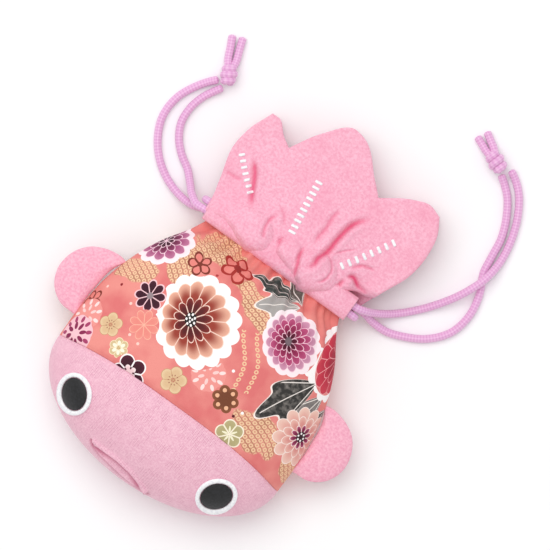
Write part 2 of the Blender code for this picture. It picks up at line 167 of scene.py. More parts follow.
def smooth(xs, ys, x):
    """The value at x of the curve through (xs, ys) whose slope at each point is that of its neighbours."""
    slopes = np.gradient(ys, xs)
    i = np.clip(np.searchsorted(xs, x) - 1, 0, len(xs) - 2)
    span = xs[i + 1] - xs[i]
    t = (x - xs[i]) / span
    start = ys[i] * (1 + 2 * t) * (1 - t) ** 2 + slopes[i] * span * t * (1 - t) ** 2
    end = ys[i + 1] * t * t * (3 - 2 * t) - slopes[i + 1] * span * t * t * (1 - t)
    return start + end


def smooth_route(points, at):
    """Places along the smooth curve through points, each given as a share of its length."""
    points = np.array(points, float)
    steps = np.linalg.norm(np.diff(points, axis=0), axis=1)
    along = np.concatenate([[0.0], np.cumsum(steps)])
    along /= along[-1]
    return np.stack([smooth(along, column, at) for column in points.T], axis=-1)


def ease(x, low, high):
    """0 below low, 1 above high, and a smooth S between."""
    t = np.clip((x - low) / (high - low), 0.0, 1.0)
    return t * t * (3 - 2 * t)


def line_distance(x, y, line):
    """Distance from (x, y) to a line of points, signed by its side, and the share of the line passed at the nearest place."""
    line = np.array(line, float)
    lengths = np.linalg.norm(np.diff(line, axis=0), axis=1)
    passed = np.concatenate([[0.0], np.cumsum(lengths)]) / lengths.sum()
    best = np.full(np.shape(x), np.inf)
    side = np.zeros(np.shape(x))
    share = np.zeros(np.shape(x))
    for (x0, y0), (x1, y1), length, low, high in zip(line, line[1:], lengths, passed, passed[1:]):
        dx, dy = (x1 - x0) / length, (y1 - y0) / length
        t = np.clip(((x - x0) * dx + (y - y0) * dy) / length, 0.0, 1.0)
        away_x, away_y = x - x0 - t * length * dx, y - y0 - t * length * dy
        distance = np.hypot(away_x, away_y)
        nearer = distance < best
        best = np.where(nearer, distance, best)
        side = np.where(nearer, np.sign(dx * away_y - dy * away_x), side)
        share = np.where(nearer, low + t * (high - low), share)
    return best, side, share


def add_mesh(name, points, faces, material, **attributes):
    """A smooth-shaded piece at the origin. attributes are values at its points: one number each, or three."""
    mesh = bpy.data.meshes.new(name)
    mesh.from_pydata(points, [], faces)
    mesh.shade_smooth()
    for label, values in attributes.items():
        values = np.asarray(values, np.float32)
        wide = values.shape[-1] == 3 and values.ndim == 2
        made = mesh.attributes.new(label, "FLOAT_VECTOR" if wide else "FLOAT", "POINT")
        made.data.foreach_set("vector" if wide else "value", values.ravel())
    mesh.materials.append(material)
    piece = bpy.data.objects.new(name, mesh)
    bpy.context.scene.collection.objects.link(piece)
    return piece


def grid_faces(rows, columns, wrap=False, flip=False):
    """Four-sided faces over a grid of points counted row by row, joined into rings where wrap is set."""
    count = columns if wrap else columns - 1
    r, c = np.meshgrid(np.arange(rows - 1), np.arange(count), indexing="ij")
    after = (c + 1) % columns
    faces = np.stack([r * columns + c, r * columns + after, (r + 1) * columns + after, (r + 1) * columns + c], axis=-1)
    return faces.reshape(-1, 4)[:, :: -1 if flip else 1]


def thicken(piece, wall):
    """A wall inside the surface. Rows that meet in one point are joined first."""
    weld = piece.modifiers.new("Weld", "WELD")
    weld.merge_threshold = 1e-6
    solidify = piece.modifiers.new("Solidify", "SOLIDIFY")
    solidify.thickness = wall
    solidify.offset = -1.0
    return piece


def grid_normals(grid):
    """Unit normals of a grid of points, from the cross product of the steps along its columns and rows."""
    normal = np.cross(np.gradient(grid, axis=1), np.gradient(grid, axis=0))
    return normal / np.maximum(np.linalg.norm(normal, axis=-1, keepdims=True), 1e-12)


# Camera and light


def add_camera_and_light():
    camera = bpy.data.cameras.new("camera")
    camera.lens = SENSOR_WIDTH * CAMERA_HEIGHT / VIEW_WIDTH
    camera.sensor_width = SENSOR_WIDTH
    camera.clip_end = 20.0
    holder = bpy.data.objects.new("camera", camera)
    holder.location = (*CAMERA_AIM, CAMERA_HEIGHT)
    holder.rotation_euler = (0.0, 0.0, CAMERA_TURN)
    bpy.context.scene.collection.objects.link(holder)
    bpy.context.scene.camera = holder

    # A large soft box on the camera's upper left, and white walls all round
    lamp = bpy.data.lights.new("soft_box", "AREA")
    lamp.shape = "RECTANGLE"
    lamp.size, lamp.size_y = 1.2, 1.2
    lamp.energy = 9.0
    soft_box = bpy.data.objects.new("soft_box", lamp)
    soft_box.location = (-0.42, 0.26, 1.25)
    soft_box.rotation_euler = (math.radians(-11.0), math.radians(-18.5), 0.0)
    bpy.context.scene.collection.objects.link(soft_box)
    world = bpy.data.worlds.new("studio")
    world.use_nodes = True
    world.node_tree.nodes["Background"].inputs["Color"].default_value = (1.0, 1.0, 1.0, 1.0)
    world.node_tree.nodes["Background"].inputs["Strength"].default_value = 0.72
    bpy.context.scene.world = world
    bpy.context.scene.view_settings.view_transform = "Standard"


def add_floor():
    """A pale matt table top."""
    floor_material, _, shader = new_material("table_white")
    shader.inputs["Base Color"].default_value = colour("FBFBFB")
    shader.inputs["Roughness"].default_value = 0.9
    corners = np.array([(-3, -3, 0), (3, -3, 0), (3, 3, 0), (-3, 3, 0)], float)
    add_mesh("table", corners, np.array([[0, 1, 2, 3]]), floor_material)


# Materials


def cord_rayon():
    """Braided rayon cord, orchid pink: silky strands that cross. Its colour is painted lighter on each raised crossing
    and darker between them, a painted highlight and painted shade.
    """
    made, tree, shader = new_material("cord_rayon")
    braid = add(tree, "Attribute", out="Vector", attribute_name="braid")
    along, around, relief = (add(tree, "SeparateXYZ", {0: braid}, out=i) for i in range(3))
    # Painted highlight and shade: the height of the braid makes the colour lighter on each crossing and darker between
    tone = add(tree, "MapRange", {0: relief, 1: 0.0, 2: 1.0, 3: 0.0, 4: 1.0})
    mixed = add(
        tree, "Mix", {0: tone, 6: colour("D98FC9"), 7: colour("F3C6E6")}, out=2, data_type="RGBA"
    )
    tree.links.new(mixed, shader.inputs["Base Color"])
    shader.inputs["Roughness"].default_value = 0.45
    shader.inputs["Sheen Weight"].default_value = 0.3
    return made


def crepe():
    """Polyester chirimen crepe: the hard-twisted weft shrinks into pebbles about 1 mm across."""
    made, tree, shader = new_material("chirimen_crepe")
    place = add(tree, "TexCoord", out="Object")
    pebbles = add(tree, "TexNoise", {"Vector": place, "Scale": 1100.0, "Detail": 2.0, "Roughness": 0.6})
    cloudy = add(tree, "TexNoise", {"Vector": place, "Scale": 70.0, "Detail": 2.0})
    # How much shade is painted at each point, most deep in the creases
    fold = add(tree, "Attribute", out="Fac", attribute_name="fold")
    pale = add(tree, "Mix", {0: add(tree, "MapRange", {0: pebbles, 1: 0.35, 2: 0.65}), 6: colour("EFA2BA"), 7: colour("F9BBCF")}, out=2, data_type="RGBA")
    rosy = add(tree, "Mix", {0: add(tree, "MapRange", {0: cloudy, 1: 0.45, 2: 0.75, 3: 0.0, 4: 0.35}), 6: pale, 7: colour("EE8CAA")}, out=2, data_type="RGBA")
    # Painted shade: the colour darkens to deep crimson in the creases, as strongly as each point's value says
    valley = add(tree, "Mix", {0: fold, 6: rosy, 7: colour("DE4B78")}, out=2, data_type="RGBA")
    tree.links.new(valley, shader.inputs["Base Color"])
    bump = add(tree, "Bump", {"Height": pebbles, "Strength": 0.5, "Distance": 0.0004})
    tree.links.new(bump, shader.inputs["Normal"])
    shader.inputs["Roughness"].default_value = 0.8
    shader.inputs["Sheen Weight"].default_value = 0.2
    return made


def face_cloth():
    """Pink satin crepe with a woven pattern of tiny dashes in slanting rows, 1.1 mm apart."""
    made, tree, shader = new_material("dashed_satin")
    cloth = add(tree, "Attribute", out="Vector", attribute_name="cloth")
    turned = add(tree, "Mapping", {"Vector": cloth, "Rotation": (0.0, 0.0, math.radians(24)), "Scale": (1 / 1.0, 1 / 0.62, 1.0)})
    column = add(tree, "SeparateXYZ", {0: turned}, out=0)
    row = add(tree, "SeparateXYZ", {0: turned}, out=1)
    step = add(tree, "Math", {0: add(tree, "Math", {0: row}, operation="FLOOR"), 1: 0.37}, operation="MULTIPLY")
    across = add(tree, "Math", {0: add(tree, "Math", {0: column, 1: step}, operation="ADD"), 1: 0.5}, operation="PINGPONG")
    down = add(tree, "Math", {0: row, 1: 0.5}, operation="PINGPONG")
    dash = add(tree, "Math", {0: add(tree, "MapRange", {0: across, 1: 0.20, 2: 0.30}), 1: add(tree, "MapRange", {0: down, 1: 0.22, 2: 0.36})}, operation="MULTIPLY")
    place = add(tree, "TexCoord", out="Object")
    patchy = add(tree, "TexNoise", {"Vector": place, "Scale": 260.0, "Detail": 3.0})
    shown = add(tree, "Math", {0: dash, 1: add(tree, "MapRange", {0: patchy, 1: 0.42, 2: 0.62})}, operation="MULTIPLY")
    fine = add(tree, "TexNoise", {"Vector": place, "Scale": 1500.0, "Detail": 1.0})
    base = add(tree, "Mix", {0: add(tree, "MapRange", {0: fine, 1: 0.3, 2: 0.7}), 6: colour("E7ABC0"), 7: colour("F5C3D2")}, out=2, data_type="RGBA")
    speckled = add(tree, "Mix", {0: add(tree, "Math", {0: shown, 1: 0.55}, operation="MULTIPLY"), 6: base, 7: colour("B9708C")}, out=2, data_type="RGBA")
    # Painted shadow: the colour darkens to deep rose under the two ridges of the sewn mouth
    fold = add(tree, "Attribute", out="Fac", attribute_name="fold")
    valley = add(tree, "Mix", {0: fold, 6: speckled, 7: colour("C04F77")}, out=2, data_type="RGBA")
    tree.links.new(valley, shader.inputs["Base Color"])
    height = add(tree, "Math", {0: fine, 1: dash}, operation="SUBTRACT")
    bump = add(tree, "Bump", {"Height": height, "Strength": 0.25, "Distance": 0.0002})
    tree.links.new(bump, shader.inputs["Normal"])
    shader.inputs["Roughness"].default_value = 0.6
    shader.inputs["Sheen Weight"].default_value = 0.2
    return made


def plain_cloth(name, light, dark, roughness):
    """Plain-woven cloth with threads about 0.4 mm apart, mixed from two near colours."""
    made, tree, shader = new_material(name)
    place = add(tree, "TexCoord", out="Object")
    grain = add(tree, "TexNoise", {"Vector": place, "Scale": 1100.0, "Detail": 2.0, "Roughness": 0.6})
    mixed = add(tree, "Mix", {0: add(tree, "MapRange", {0: grain, 1: 0.35, 2: 0.65}), 6: colour(dark), 7: colour(light)}, out=2, data_type="RGBA")
    tree.links.new(mixed, shader.inputs["Base Color"])
    bump = add(tree, "Bump", {"Height": grain, "Strength": 0.4, "Distance": 0.0003})
    tree.links.new(bump, shader.inputs["Normal"])
    shader.inputs["Roughness"].default_value = roughness
    return made


# The printed cloth


def petal_wave(tree, angle, count, turn):
    """0 in the middle of each petal and 1 on its borders, for count petals round the flower."""
    scaled = add(tree, "Math", {0: angle, 1: count / math.pi, 2: turn}, operation="MULTIPLY_ADD")
    return add(tree, "Math", {0: scaled, 1: 1.0}, operation="PINGPONG")


def petals(tree, angle, radius, line_width, count, reach, roundness, turn, inner, outer, line):
    """Fill and extent of one ring of petals. A petal ends where radius + roundness * wave^2 passes its
    reach, and its fill fades into the outer colour over the last third. A line follows its border."""
    wave = petal_wave(tree, angle, count, turn)
    squared = add(tree, "Math", {0: wave, 1: wave}, operation="MULTIPLY")
    tip = add(tree, "Math", {0: squared, 1: roundness, 2: radius}, operation="MULTIPLY_ADD")
    inside = add(tree, "Math", {0: tip, 1: reach}, operation="LESS_THAN")
    share = add(tree, "MapRange", {0: tip, 1: 0.62 * reach, 2: reach}, interpolation_type="SMOOTHSTEP")
    fill = add(tree, "Mix", {0: share, 6: colour(inner), 7: colour(outer)}, out=2, data_type="RGBA")
    if line:
        from_border = add(tree, "Math", {0: 1.0, 1: wave}, operation="SUBTRACT")
        from_border = add(tree, "Math", {0: from_border, 1: radius}, operation="MULTIPLY")
        from_border = add(tree, "Math", {0: from_border, 1: 2 * math.pi / count}, operation="MULTIPLY")
        from_tip = add(tree, "Math", {0: reach, 1: tip}, operation="SUBTRACT")
        nearest = add(tree, "Math", {0: from_border, 1: from_tip}, operation="MINIMUM")
        drawn = add(tree, "Math", {0: nearest, 1: line_width}, operation="LESS_THAN")
        fill = add(tree, "Mix", {0: drawn, 6: fill, 7: colour(line)}, out=2, data_type="RGBA")
    return fill, inside


def spots(tree, angle, radius, count, at, size, turn, long):
    """1 on each of count spots in a ring at radius at. size is half a spot's width, and long its length to its width."""
    wave = petal_wave(tree, angle, count, turn)
    sideways = add(tree, "Math", {0: wave, 1: radius}, operation="MULTIPLY")
    sideways = add(tree, "Math", {0: sideways, 1: math.pi / count}, operation="MULTIPLY")
    outward = add(tree, "Math", {0: radius, 1: at}, operation="SUBTRACT")
    outward = add(tree, "Math", {0: outward, 1: long}, operation="DIVIDE")
    both = add(tree, "CombineXYZ", {0: sideways, 1: outward})
    distance = add(tree, "VectorMath", {0: both}, out="Value", operation="LENGTH")
    return add(tree, "Math", {0: distance, 1: size}, operation="LESS_THAN")


def flower(tree, angle, radius, drawing):
    """A flower's colour, and 1 where it is: its parts are painted over each other in their order."""
    painted, covered = None, None
    for part, *values in drawing:
        if part == "spots":
            *place, paint = values
            where = spots(tree, angle, radius, *place)
            painted = add(tree, "Mix", {0: where, 6: painted, 7: colour(paint)}, out=2, data_type="RGBA")
            continue
        fill, inside = petals(tree, angle, radius, *values)
        if painted is None:
            painted, covered = fill, inside
        else:
            painted = add(tree, "Mix", {0: inside, 6: painted, 7: fill}, out=2, data_type="RGBA")
    return painted, covered


WHITE, CREAM, INK = "FFFAF8", "F9D6C6", "17100F"
# Flowers, each from the outside in. Petals: line width, count, reach, roundness, turn, inner and outer
# fill, line. Spots: count, radius, half width, turn, length to width, colour
FLOWERS = {
    "rust": [
        ("petals", 0.0, 16, 1.00, 0.09, 0.0, WHITE, WHITE, None),
        ("petals", 0.018, 14, 0.80, 0.10, 0.3, "9A3A2C", "E9AE96", CREAM),
        ("petals", 0.022, 11, 0.47, 0.15, 0.4, "571316", "7E2520", CREAM),
        ("petals", 0.0, 9, 0.16, 0.02, 0.0, INK, INK, None),
        ("spots", 7, 0.115, 0.028, 0.0, 1.0, WHITE),
        ("spots", 3, 0.045, 0.026, 0.5, 1.0, WHITE),
    ],
    "magenta": [
        ("petals", 0.0, 14, 1.00, 0.07, 0.0, "FBE1E8", "FDEDF1", None),
        ("petals", 0.024, 16, 0.86, 0.12, 0.0, "B86A8C", "CE93AE", "F7C6D6"),
        ("petals", 0.024, 14, 0.70, 0.13, 0.5, "A23561", "B94E79", "F7C6D6"),
        ("petals", 0.024, 11, 0.52, 0.14, 0.2, "862048", "A0305C", "F7C6D6"),
        ("petals", 0.024, 8, 0.33, 0.14, 0.0, "4E0A26", "691534", "F7C6D6"),
        ("petals", 0.0, 8, 0.13, 0.0, 0.0, "75636A", "5B4A50", None),
    ],
    "mauve": [
        ("petals", 0.0, 12, 1.00, 0.10, 0.0, "FBE1E8", "FDEDF1", None),
        ("petals", 0.03, 12, 0.84, 0.16, 0.0, "A64C79", "BE7497", "F8D0DE"),
        ("petals", 0.03, 10, 0.58, 0.16, 0.5, "6E2346", "8E3C64", "F8D0DE"),
        ("petals", 0.03, 8, 0.32, 0.10, 0.0, "3E0E24", "52162F", "F8D0DE"),
    ],
    "pale": [
        ("petals", 0.03, 12, 1.00, 0.18, 0.0, "E7A79C", "F2C9BA", "FBE6DE"),
        ("petals", 0.03, 11, 0.70, 0.18, 0.5, "DD938C", "EDB7AA", "FBE6DE"),
        ("petals", 0.03, 10, 0.42, 0.16, 0.0, "7E1F46", "B85478", "FBE6DE"),
        ("petals", 0.0, 8, 0.18, 0.0, 0.0, "32101C", "32101C", None),
        ("spots", 6, 0.12, 0.035, 0.0, 1.0, WHITE),
    ],
    "red": [
        ("petals", 0.02, 12, 1.00, 0.10, 0.0, "BE2740", "CE3A4C", "F6AFB2"),
        ("petals", 0.02, 10, 0.66, 0.14, 0.5, "A81C36", "C02E44", "F6AFB2"),
    ],
    "daisy": [
        ("petals", 0.0, 8, 1.00, 0.28, 0.0, "F7C9CF", "F7C9CF", None),
        ("petals", 0.06, 8, 0.97, 0.30, 0.0, "3A0A20", "4A1028", "F7C9CF"),
        ("petals", 0.0, 8, 0.20, 0.00, 0.0, "948388", "948388", None),
    ],
    "outline": [("petals", 0.05, 8, 1.00, 0.34, 0.0, "EB8B80", "EE9386", "F5B59E")],
    "beige_plum": [
        ("petals", 0.05, 5, 1.00, 0.26, 0.0, "DDBA90", "E8CBA2", "C79B72"),
        ("spots", 10, 0.34, 0.040, 0.0, 1.6, "A8705A"),
        ("spots", 5, 0.12, 0.050, 0.0, 1.0, "BA6A5C"),
    ],
    "ivory_plum": [
        ("petals", 0.07, 6, 1.00, 0.20, 0.0, "D6BE90", "D6BE90", "F6E3BE"),
        ("spots", 6, 0.46, 0.17, 0.0, 1.4, "FBF4DC"),
        ("spots", 3, 0.10, 0.08, 0.0, 1.0, "C9A96E"),
    ],
    "olive_plum": [
        ("petals", 0.09, 5, 1.00, 0.24, 0.0, "B5A97A", "BDB184", "FBF0DA"),
        ("spots", 5, 0.30, 0.07, 0.0, 2.6, "F6F0D0"),
        ("spots", 10, 0.48, 0.05, 0.0, 1.0, "F6F0D0"),
    ],
    "brown_rings": [
        ("petals", 0.0, 6, 1.00, 0.24, 0.0, "754027", "8A5033", None),
        ("spots", 6, 0.64, 0.15, 0.0, 1.0, "F0B792"),
    ],
    "loops": [
        ("petals", 0.17, 5, 1.00, 0.40, 0.0, "E8857C", "EA8A80", "7E3326"),
        ("petals", 0.0, 5, 0.22, 0.10, 0.0, "7E3326", "7E3326", None),
    ],
    "red_loops": [
        ("petals", 0.17, 5, 1.00, 0.36, 0.0, "E8857C", "E57C76", "A8302A"),
        ("petals", 0.0, 5, 0.25, 0.10, 0.0, "962A26", "962A26", None),
    ],
    "maroon_plum": [
        ("petals", 0.08, 5, 1.00, 0.30, 0.0, "3C0A1E", "54102C", WHITE),
        ("petals", 0.0, 5, 0.42, 0.20, 0.0, "F0CDD0", "F7E3E2", None),
        ("spots", 5, 0.26, 0.05, 1.0, 1.5, "54102C"),
    ],
    "strokes": [
        ("petals", 0.0, 9, 1.00, 0.05, 0.0, "EF9790", "EF9790", None),
        ("spots", 9, 0.78, 0.10, 0.0, 1.8, "FBE0DC"),
        ("spots", 6, 0.42, 0.09, 0.4, 2.0, "F9CFCB"),
    ],
    "magenta_bits": [
        ("petals", 0.0, 10, 1.00, 0.05, 0.0, "F6C3CC", "F6C3CC", None),
        ("spots", 11, 0.78, 0.10, 0.0, 1.7, "A83E68"),
        ("spots", 8, 0.44, 0.10, 0.4, 2.0, "8A2450"),
    ],
    "cloud": [("petals", 0.0, 11, 1.00, 0.12, 0.0, WHITE, WHITE, None)],
}
# Stamps of the print, later ones over earlier ones: flower, place, half sizes and turn in degrees
STAMPS = [
    ("cloud", 36.0, 10.6, 8.0, 8.0, 0), ("cloud", 42.0, -2.0, 9.5, 10.0, 0), ("cloud", 36.5, -0.5, 8.0, 8.0, 0),
    ("red", 40.2, 5.0, 11.0, 15.0, 0), ("mauve", -38.9, 3.6, 14.5, 11.0, 25), ("magenta", 22.3, 0.6, 13.8, 12.2, -54),
    ("strokes", 3.4, -28.0, 6.8, 6.8, 0), ("rust", -11.8, -13.9, 18.8, 17.0, -54), ("daisy", -32.0, -16.8, 6.6, 6.6, 25),
    ("outline", -27.4, -27.2, 6.0, 6.0, 10), ("beige_plum", -37.7, -34.5, 5.0, 5.0, 40),
    ("ivory_plum", -30.1, -39.8, 4.0, 4.0, 0), ("beige_plum", -6.2, -37.6, 5.4, 5.4, 30),
    ("maroon_plum", -21.7, -45.2, 7.2, 7.2, 60), ("brown_rings", 14.1, -31.9, 5.4, 5.4, 10),
    ("olive_plum", 23.1, -41.8, 5.8, 5.8, 50), ("loops", -23.5, 3.9, 5.2, 5.2, 60), ("red_loops", -10.9, 11.0, 7.0, 7.0, 10),
    ("loops", -48.9, -31.0, 5.0, 5.0, 0), ("strokes", -47.2, -36.6, 7.0, 7.0, 0), ("magenta_bits", -46.6, -45.2, 8.0, 8.0, 0),
    ("pale", 46.0, -27.0, 13.5, 12.0, 0),
]
# Leaves: where the stem and the tip are, the shade of the leaf, and half its spread in degrees
LEAVES = [
    ((17.6, 14.4), (9.6, 21.6), "5E5650", 40), ((17.2, 13.0), (1.6, 5.4), "A9A5A2", 48), ((15.8, 15.0), (-4.6, 15.4), "33403C", 40),
    ((49.0, -13.0), (45.8, -22.6), "4A4644", 45), ((43.6, -9.4), (38.8, -26.4), "77706E", 40), ((38.9, -6.6), (24.4, -28.4), "33312F", 42),
]
# Single dots: place and colour, about 1 mm across
DOTS = [
    (10.3, -21.5, WHITE), (22.4, -32.5, WHITE), (-47.1, -23.4, "F9CFC4"), (-36.2, -23.5, "F9CFC4"),
    (-29.6, -33.3, "F9CFC4"), (-25.1, -34.3, "F9CFC4"), (-15.8, 4.3, "B03A3C"), (20.3, -35.4, "5E1020"), (-43.2, -19.7, "8E1A22"),
]
DOT_RADIUS = 0.6
# Fields of tie-dyed rings: middle, half sizes, turn in degrees
RING_FIELDS = [
    (-22.0, 13.5, 13.5, 9.5, 25), (-42.0, -11.8, 11.5, 6.0, 18), (-28.5, 0.5, 7.5, 10.0, 10), (4.6, 3.2, 14.0, 7.0, -22),
    (32.0, -35.6, 13.0, 8.5, -10), (49.5, -40.2, 9.0, 5.0, -20),
]
# Chains of single rings: where each starts, its direction in degrees and its length
RING_CHAINS = [((5.7, -6.0), -65.4, 23.6), ((10.6, -4.0), -66.0, 23.4)]
RING_PITCH = 2.1
RING_RADIUS = 0.62
RING_LINE = 0.24


def bag_section(y):
    """Half width, crown, belly and seam height of the bag at y."""
    y = np.asarray(y, float)
    stations = BAG_STATIONS[:, 0]
    width, crown, belly, seam = (
        smooth(stations, column, np.maximum(y, stations[0])) for column in BAG_STATIONS[:, 1:].T
    )
    past = np.clip((CHIN_START - y) / CHIN_DEPTH, 0.0, 1.0)
    power, root = CHIN_POWERS
    rounding = (1 - past**power) ** root
    return width * np.sqrt(1 - past**2), crown * rounding, belly * rounding, seam


def bag_height(crown, belly, seam, s, side):
    """Height of the bag's upper or lower surface at s, which runs from -1 to 1 between its side seams."""
    power, root = CROWN_POWERS if side == "front" else BELLY_POWERS
    shape = (1 - np.minimum(np.abs(s), 1.0) ** power) ** root
    if side == "front":
        return seam + SEAM_GAP + np.maximum(crown - SEAM_GAP, 0.0) * shape
    return np.maximum(seam - SEAM_GAP - np.maximum(belly - SEAM_GAP, 0.0) * shape, 0.0)


def middle_length(y):
    """Length of the bag's top line from the face seam to the row y."""
    rows = np.linspace(-0.0799, 0.0262, 400)
    _, crown, _, seam = bag_section(rows)
    steps = np.hypot(np.diff(rows), np.diff(crown + seam))
    passed = np.concatenate([[0.0], np.cumsum(steps)])
    return np.interp(y, rows, passed) - np.interp(FACE_SEAM_Y, rows, passed)


def flat_place(x, y):
    """Where the point (x, y), seen from above, lies on the flat cloth, all in millimetres: how far along
    the cloth from the bag's middle line, and how far along that line from the face seam."""
    width, crown, _, _ = bag_section(y * MM)
    power, root = CROWN_POWERS
    s = np.linspace(0.0, min(abs(x * MM / width), 0.999), 80)
    profile = crown * (1 - s**power) ** root
    across = np.hypot(np.diff(s * width), np.diff(profile)).sum()
    return float(np.sign(x) * across / MM), float(middle_length(y * MM) / MM)


def on_stamp(tree, cloth, x, y, half_x, half_y, turn):
    """Coordinates in which a stamp's middle is 0 and its rim 1, and 1 inside the rim."""
    across, along = flat_place(x, y)
    settings = {"Vector": cloth, "Location": (across, along, 0.0), "Rotation": (0.0, 0.0, math.radians(turn)), "Scale": (half_x, half_y, 1.0)}
    local = add(tree, "Mapping", settings, vector_type="TEXTURE")
    radius = add(tree, "VectorMath", {0: local}, out="Value", operation="LENGTH")
    return local, add(tree, "Math", {0: radius, 1: 1.0}, operation="LESS_THAN")


def ring_at(tree, sideways, along):
    """1 on a ring of RING_RADIUS in each cell of the two wave coordinates, which run from 0 in its middle."""
    both = add(tree, "CombineXYZ", {0: sideways, 1: along})
    distance = add(tree, "VectorMath", {0: both}, out="Value", operation="LENGTH")
    return add(tree, "Math", {0: distance, 1: RING_RADIUS, 2: RING_LINE}, operation="COMPARE")


def with_rings(tree, cloth, painted):
    """Tie-dyed (kanoko) rings: fields of them on tan cloth, in rows that bend, and chains of single ones."""
    wobble = add(tree, "TexNoise", {"Vector": cloth, "Scale": 0.14, "Detail": 1.0})
    field = None
    for place in RING_FIELDS:
        local, _ = on_stamp(tree, cloth, *place)
        radius = add(tree, "VectorMath", {0: local}, out="Value", operation="LENGTH")
        rough = add(tree, "Math", {0: wobble, 1: 0.9, 2: radius}, operation="MULTIPLY_ADD")
        inside = add(tree, "MapRange", {0: rough, 1: 1.36, 2: 1.26})
        field = inside if field is None else add(tree, "Math", {0: field, 1: inside}, operation="MAXIMUM")
    bent = add(tree, "Mapping", {"Vector": cloth, "Rotation": (0.0, 0.0, math.radians(30))})
    column, row = (add(tree, "SeparateXYZ", {0: bent}, out=i) for i in range(2))
    sway = add(tree, "Math", {0: add(tree, "Math", {0: column, 1: 0.16}, operation="MULTIPLY")}, operation="SINE")
    row = add(tree, "Math", {0: sway, 1: 1.6, 2: row}, operation="MULTIPLY_ADD")
    step = add(tree, "Math", {0: row, 1: 1 / RING_PITCH}, operation="MULTIPLY")
    shift = add(tree, "Math", {0: add(tree, "Math", {0: step, 1: 0.5}, operation="ADD")}, operation="FLOOR")
    shifted = add(tree, "Math", {0: shift, 1: RING_PITCH / 2, 2: column}, operation="MULTIPLY_ADD")
    sideways = add(tree, "Math", {0: shifted, 1: RING_PITCH / 2}, operation="PINGPONG")
    along = add(tree, "Math", {0: row, 1: RING_PITCH / 2}, operation="PINGPONG")
    rings = ring_at(tree, sideways, along)
    cloudy = add(tree, "TexNoise", {"Vector": cloth, "Scale": 0.09, "Detail": 1.0})
    tan = add(tree, "Mix", {0: add(tree, "MapRange", {0: cloudy, 1: 0.42, 2: 0.58}), 6: colour("C98F74"), 7: colour("E29B86")}, out=2, data_type="RGBA")
    painted = add(tree, "Mix", {0: field, 6: painted, 7: tan}, out=2, data_type="RGBA")
    between = add(tree, "Math", {0: along, 1: RING_PITCH / 2, 2: 0.13}, operation="COMPARE")
    dark = add(tree, "Math", {0: between, 1: field}, operation="MULTIPLY")
    painted = add(tree, "Mix", {0: add(tree, "Math", {0: dark, 1: 0.7}, operation="MULTIPLY"), 6: painted, 7: colour("A4674E")}, out=2, data_type="RGBA")
    lit = add(tree, "Math", {0: rings, 1: field}, operation="MULTIPLY")
    for (x, y), direction, length in RING_CHAINS:
        across, along_mm = flat_place(x, y)
        settings = {"Vector": cloth, "Location": (across, along_mm, 0.0), "Rotation": (0.0, 0.0, math.radians(direction))}
        chain = add(tree, "Mapping", settings, vector_type="TEXTURE")
        passed, off = (add(tree, "SeparateXYZ", {0: chain}, out=i) for i in range(2))
        bend = add(tree, "Math", {0: add(tree, "Math", {0: passed, 1: 0.24, 2: -1.6}, operation="MULTIPLY_ADD")}, operation="SINE")
        off = add(tree, "Math", {0: bend, 1: -1.3, 2: off}, operation="MULTIPLY_ADD")
        cell = add(tree, "Math", {0: passed, 1: RING_PITCH / 2}, operation="PINGPONG")
        middle = add(tree, "Math", {0: passed, 1: length / 2, 2: length / 2}, operation="COMPARE")
        ring = add(tree, "Math", {0: ring_at(tree, off, cell), 1: middle}, operation="MULTIPLY")
        lit = add(tree, "Math", {0: lit, 1: ring}, operation="MAXIMUM")
    return add(tree, "Mix", {0: lit, 6: painted, 7: colour("F2C9A0")}, out=2, data_type="RGBA")


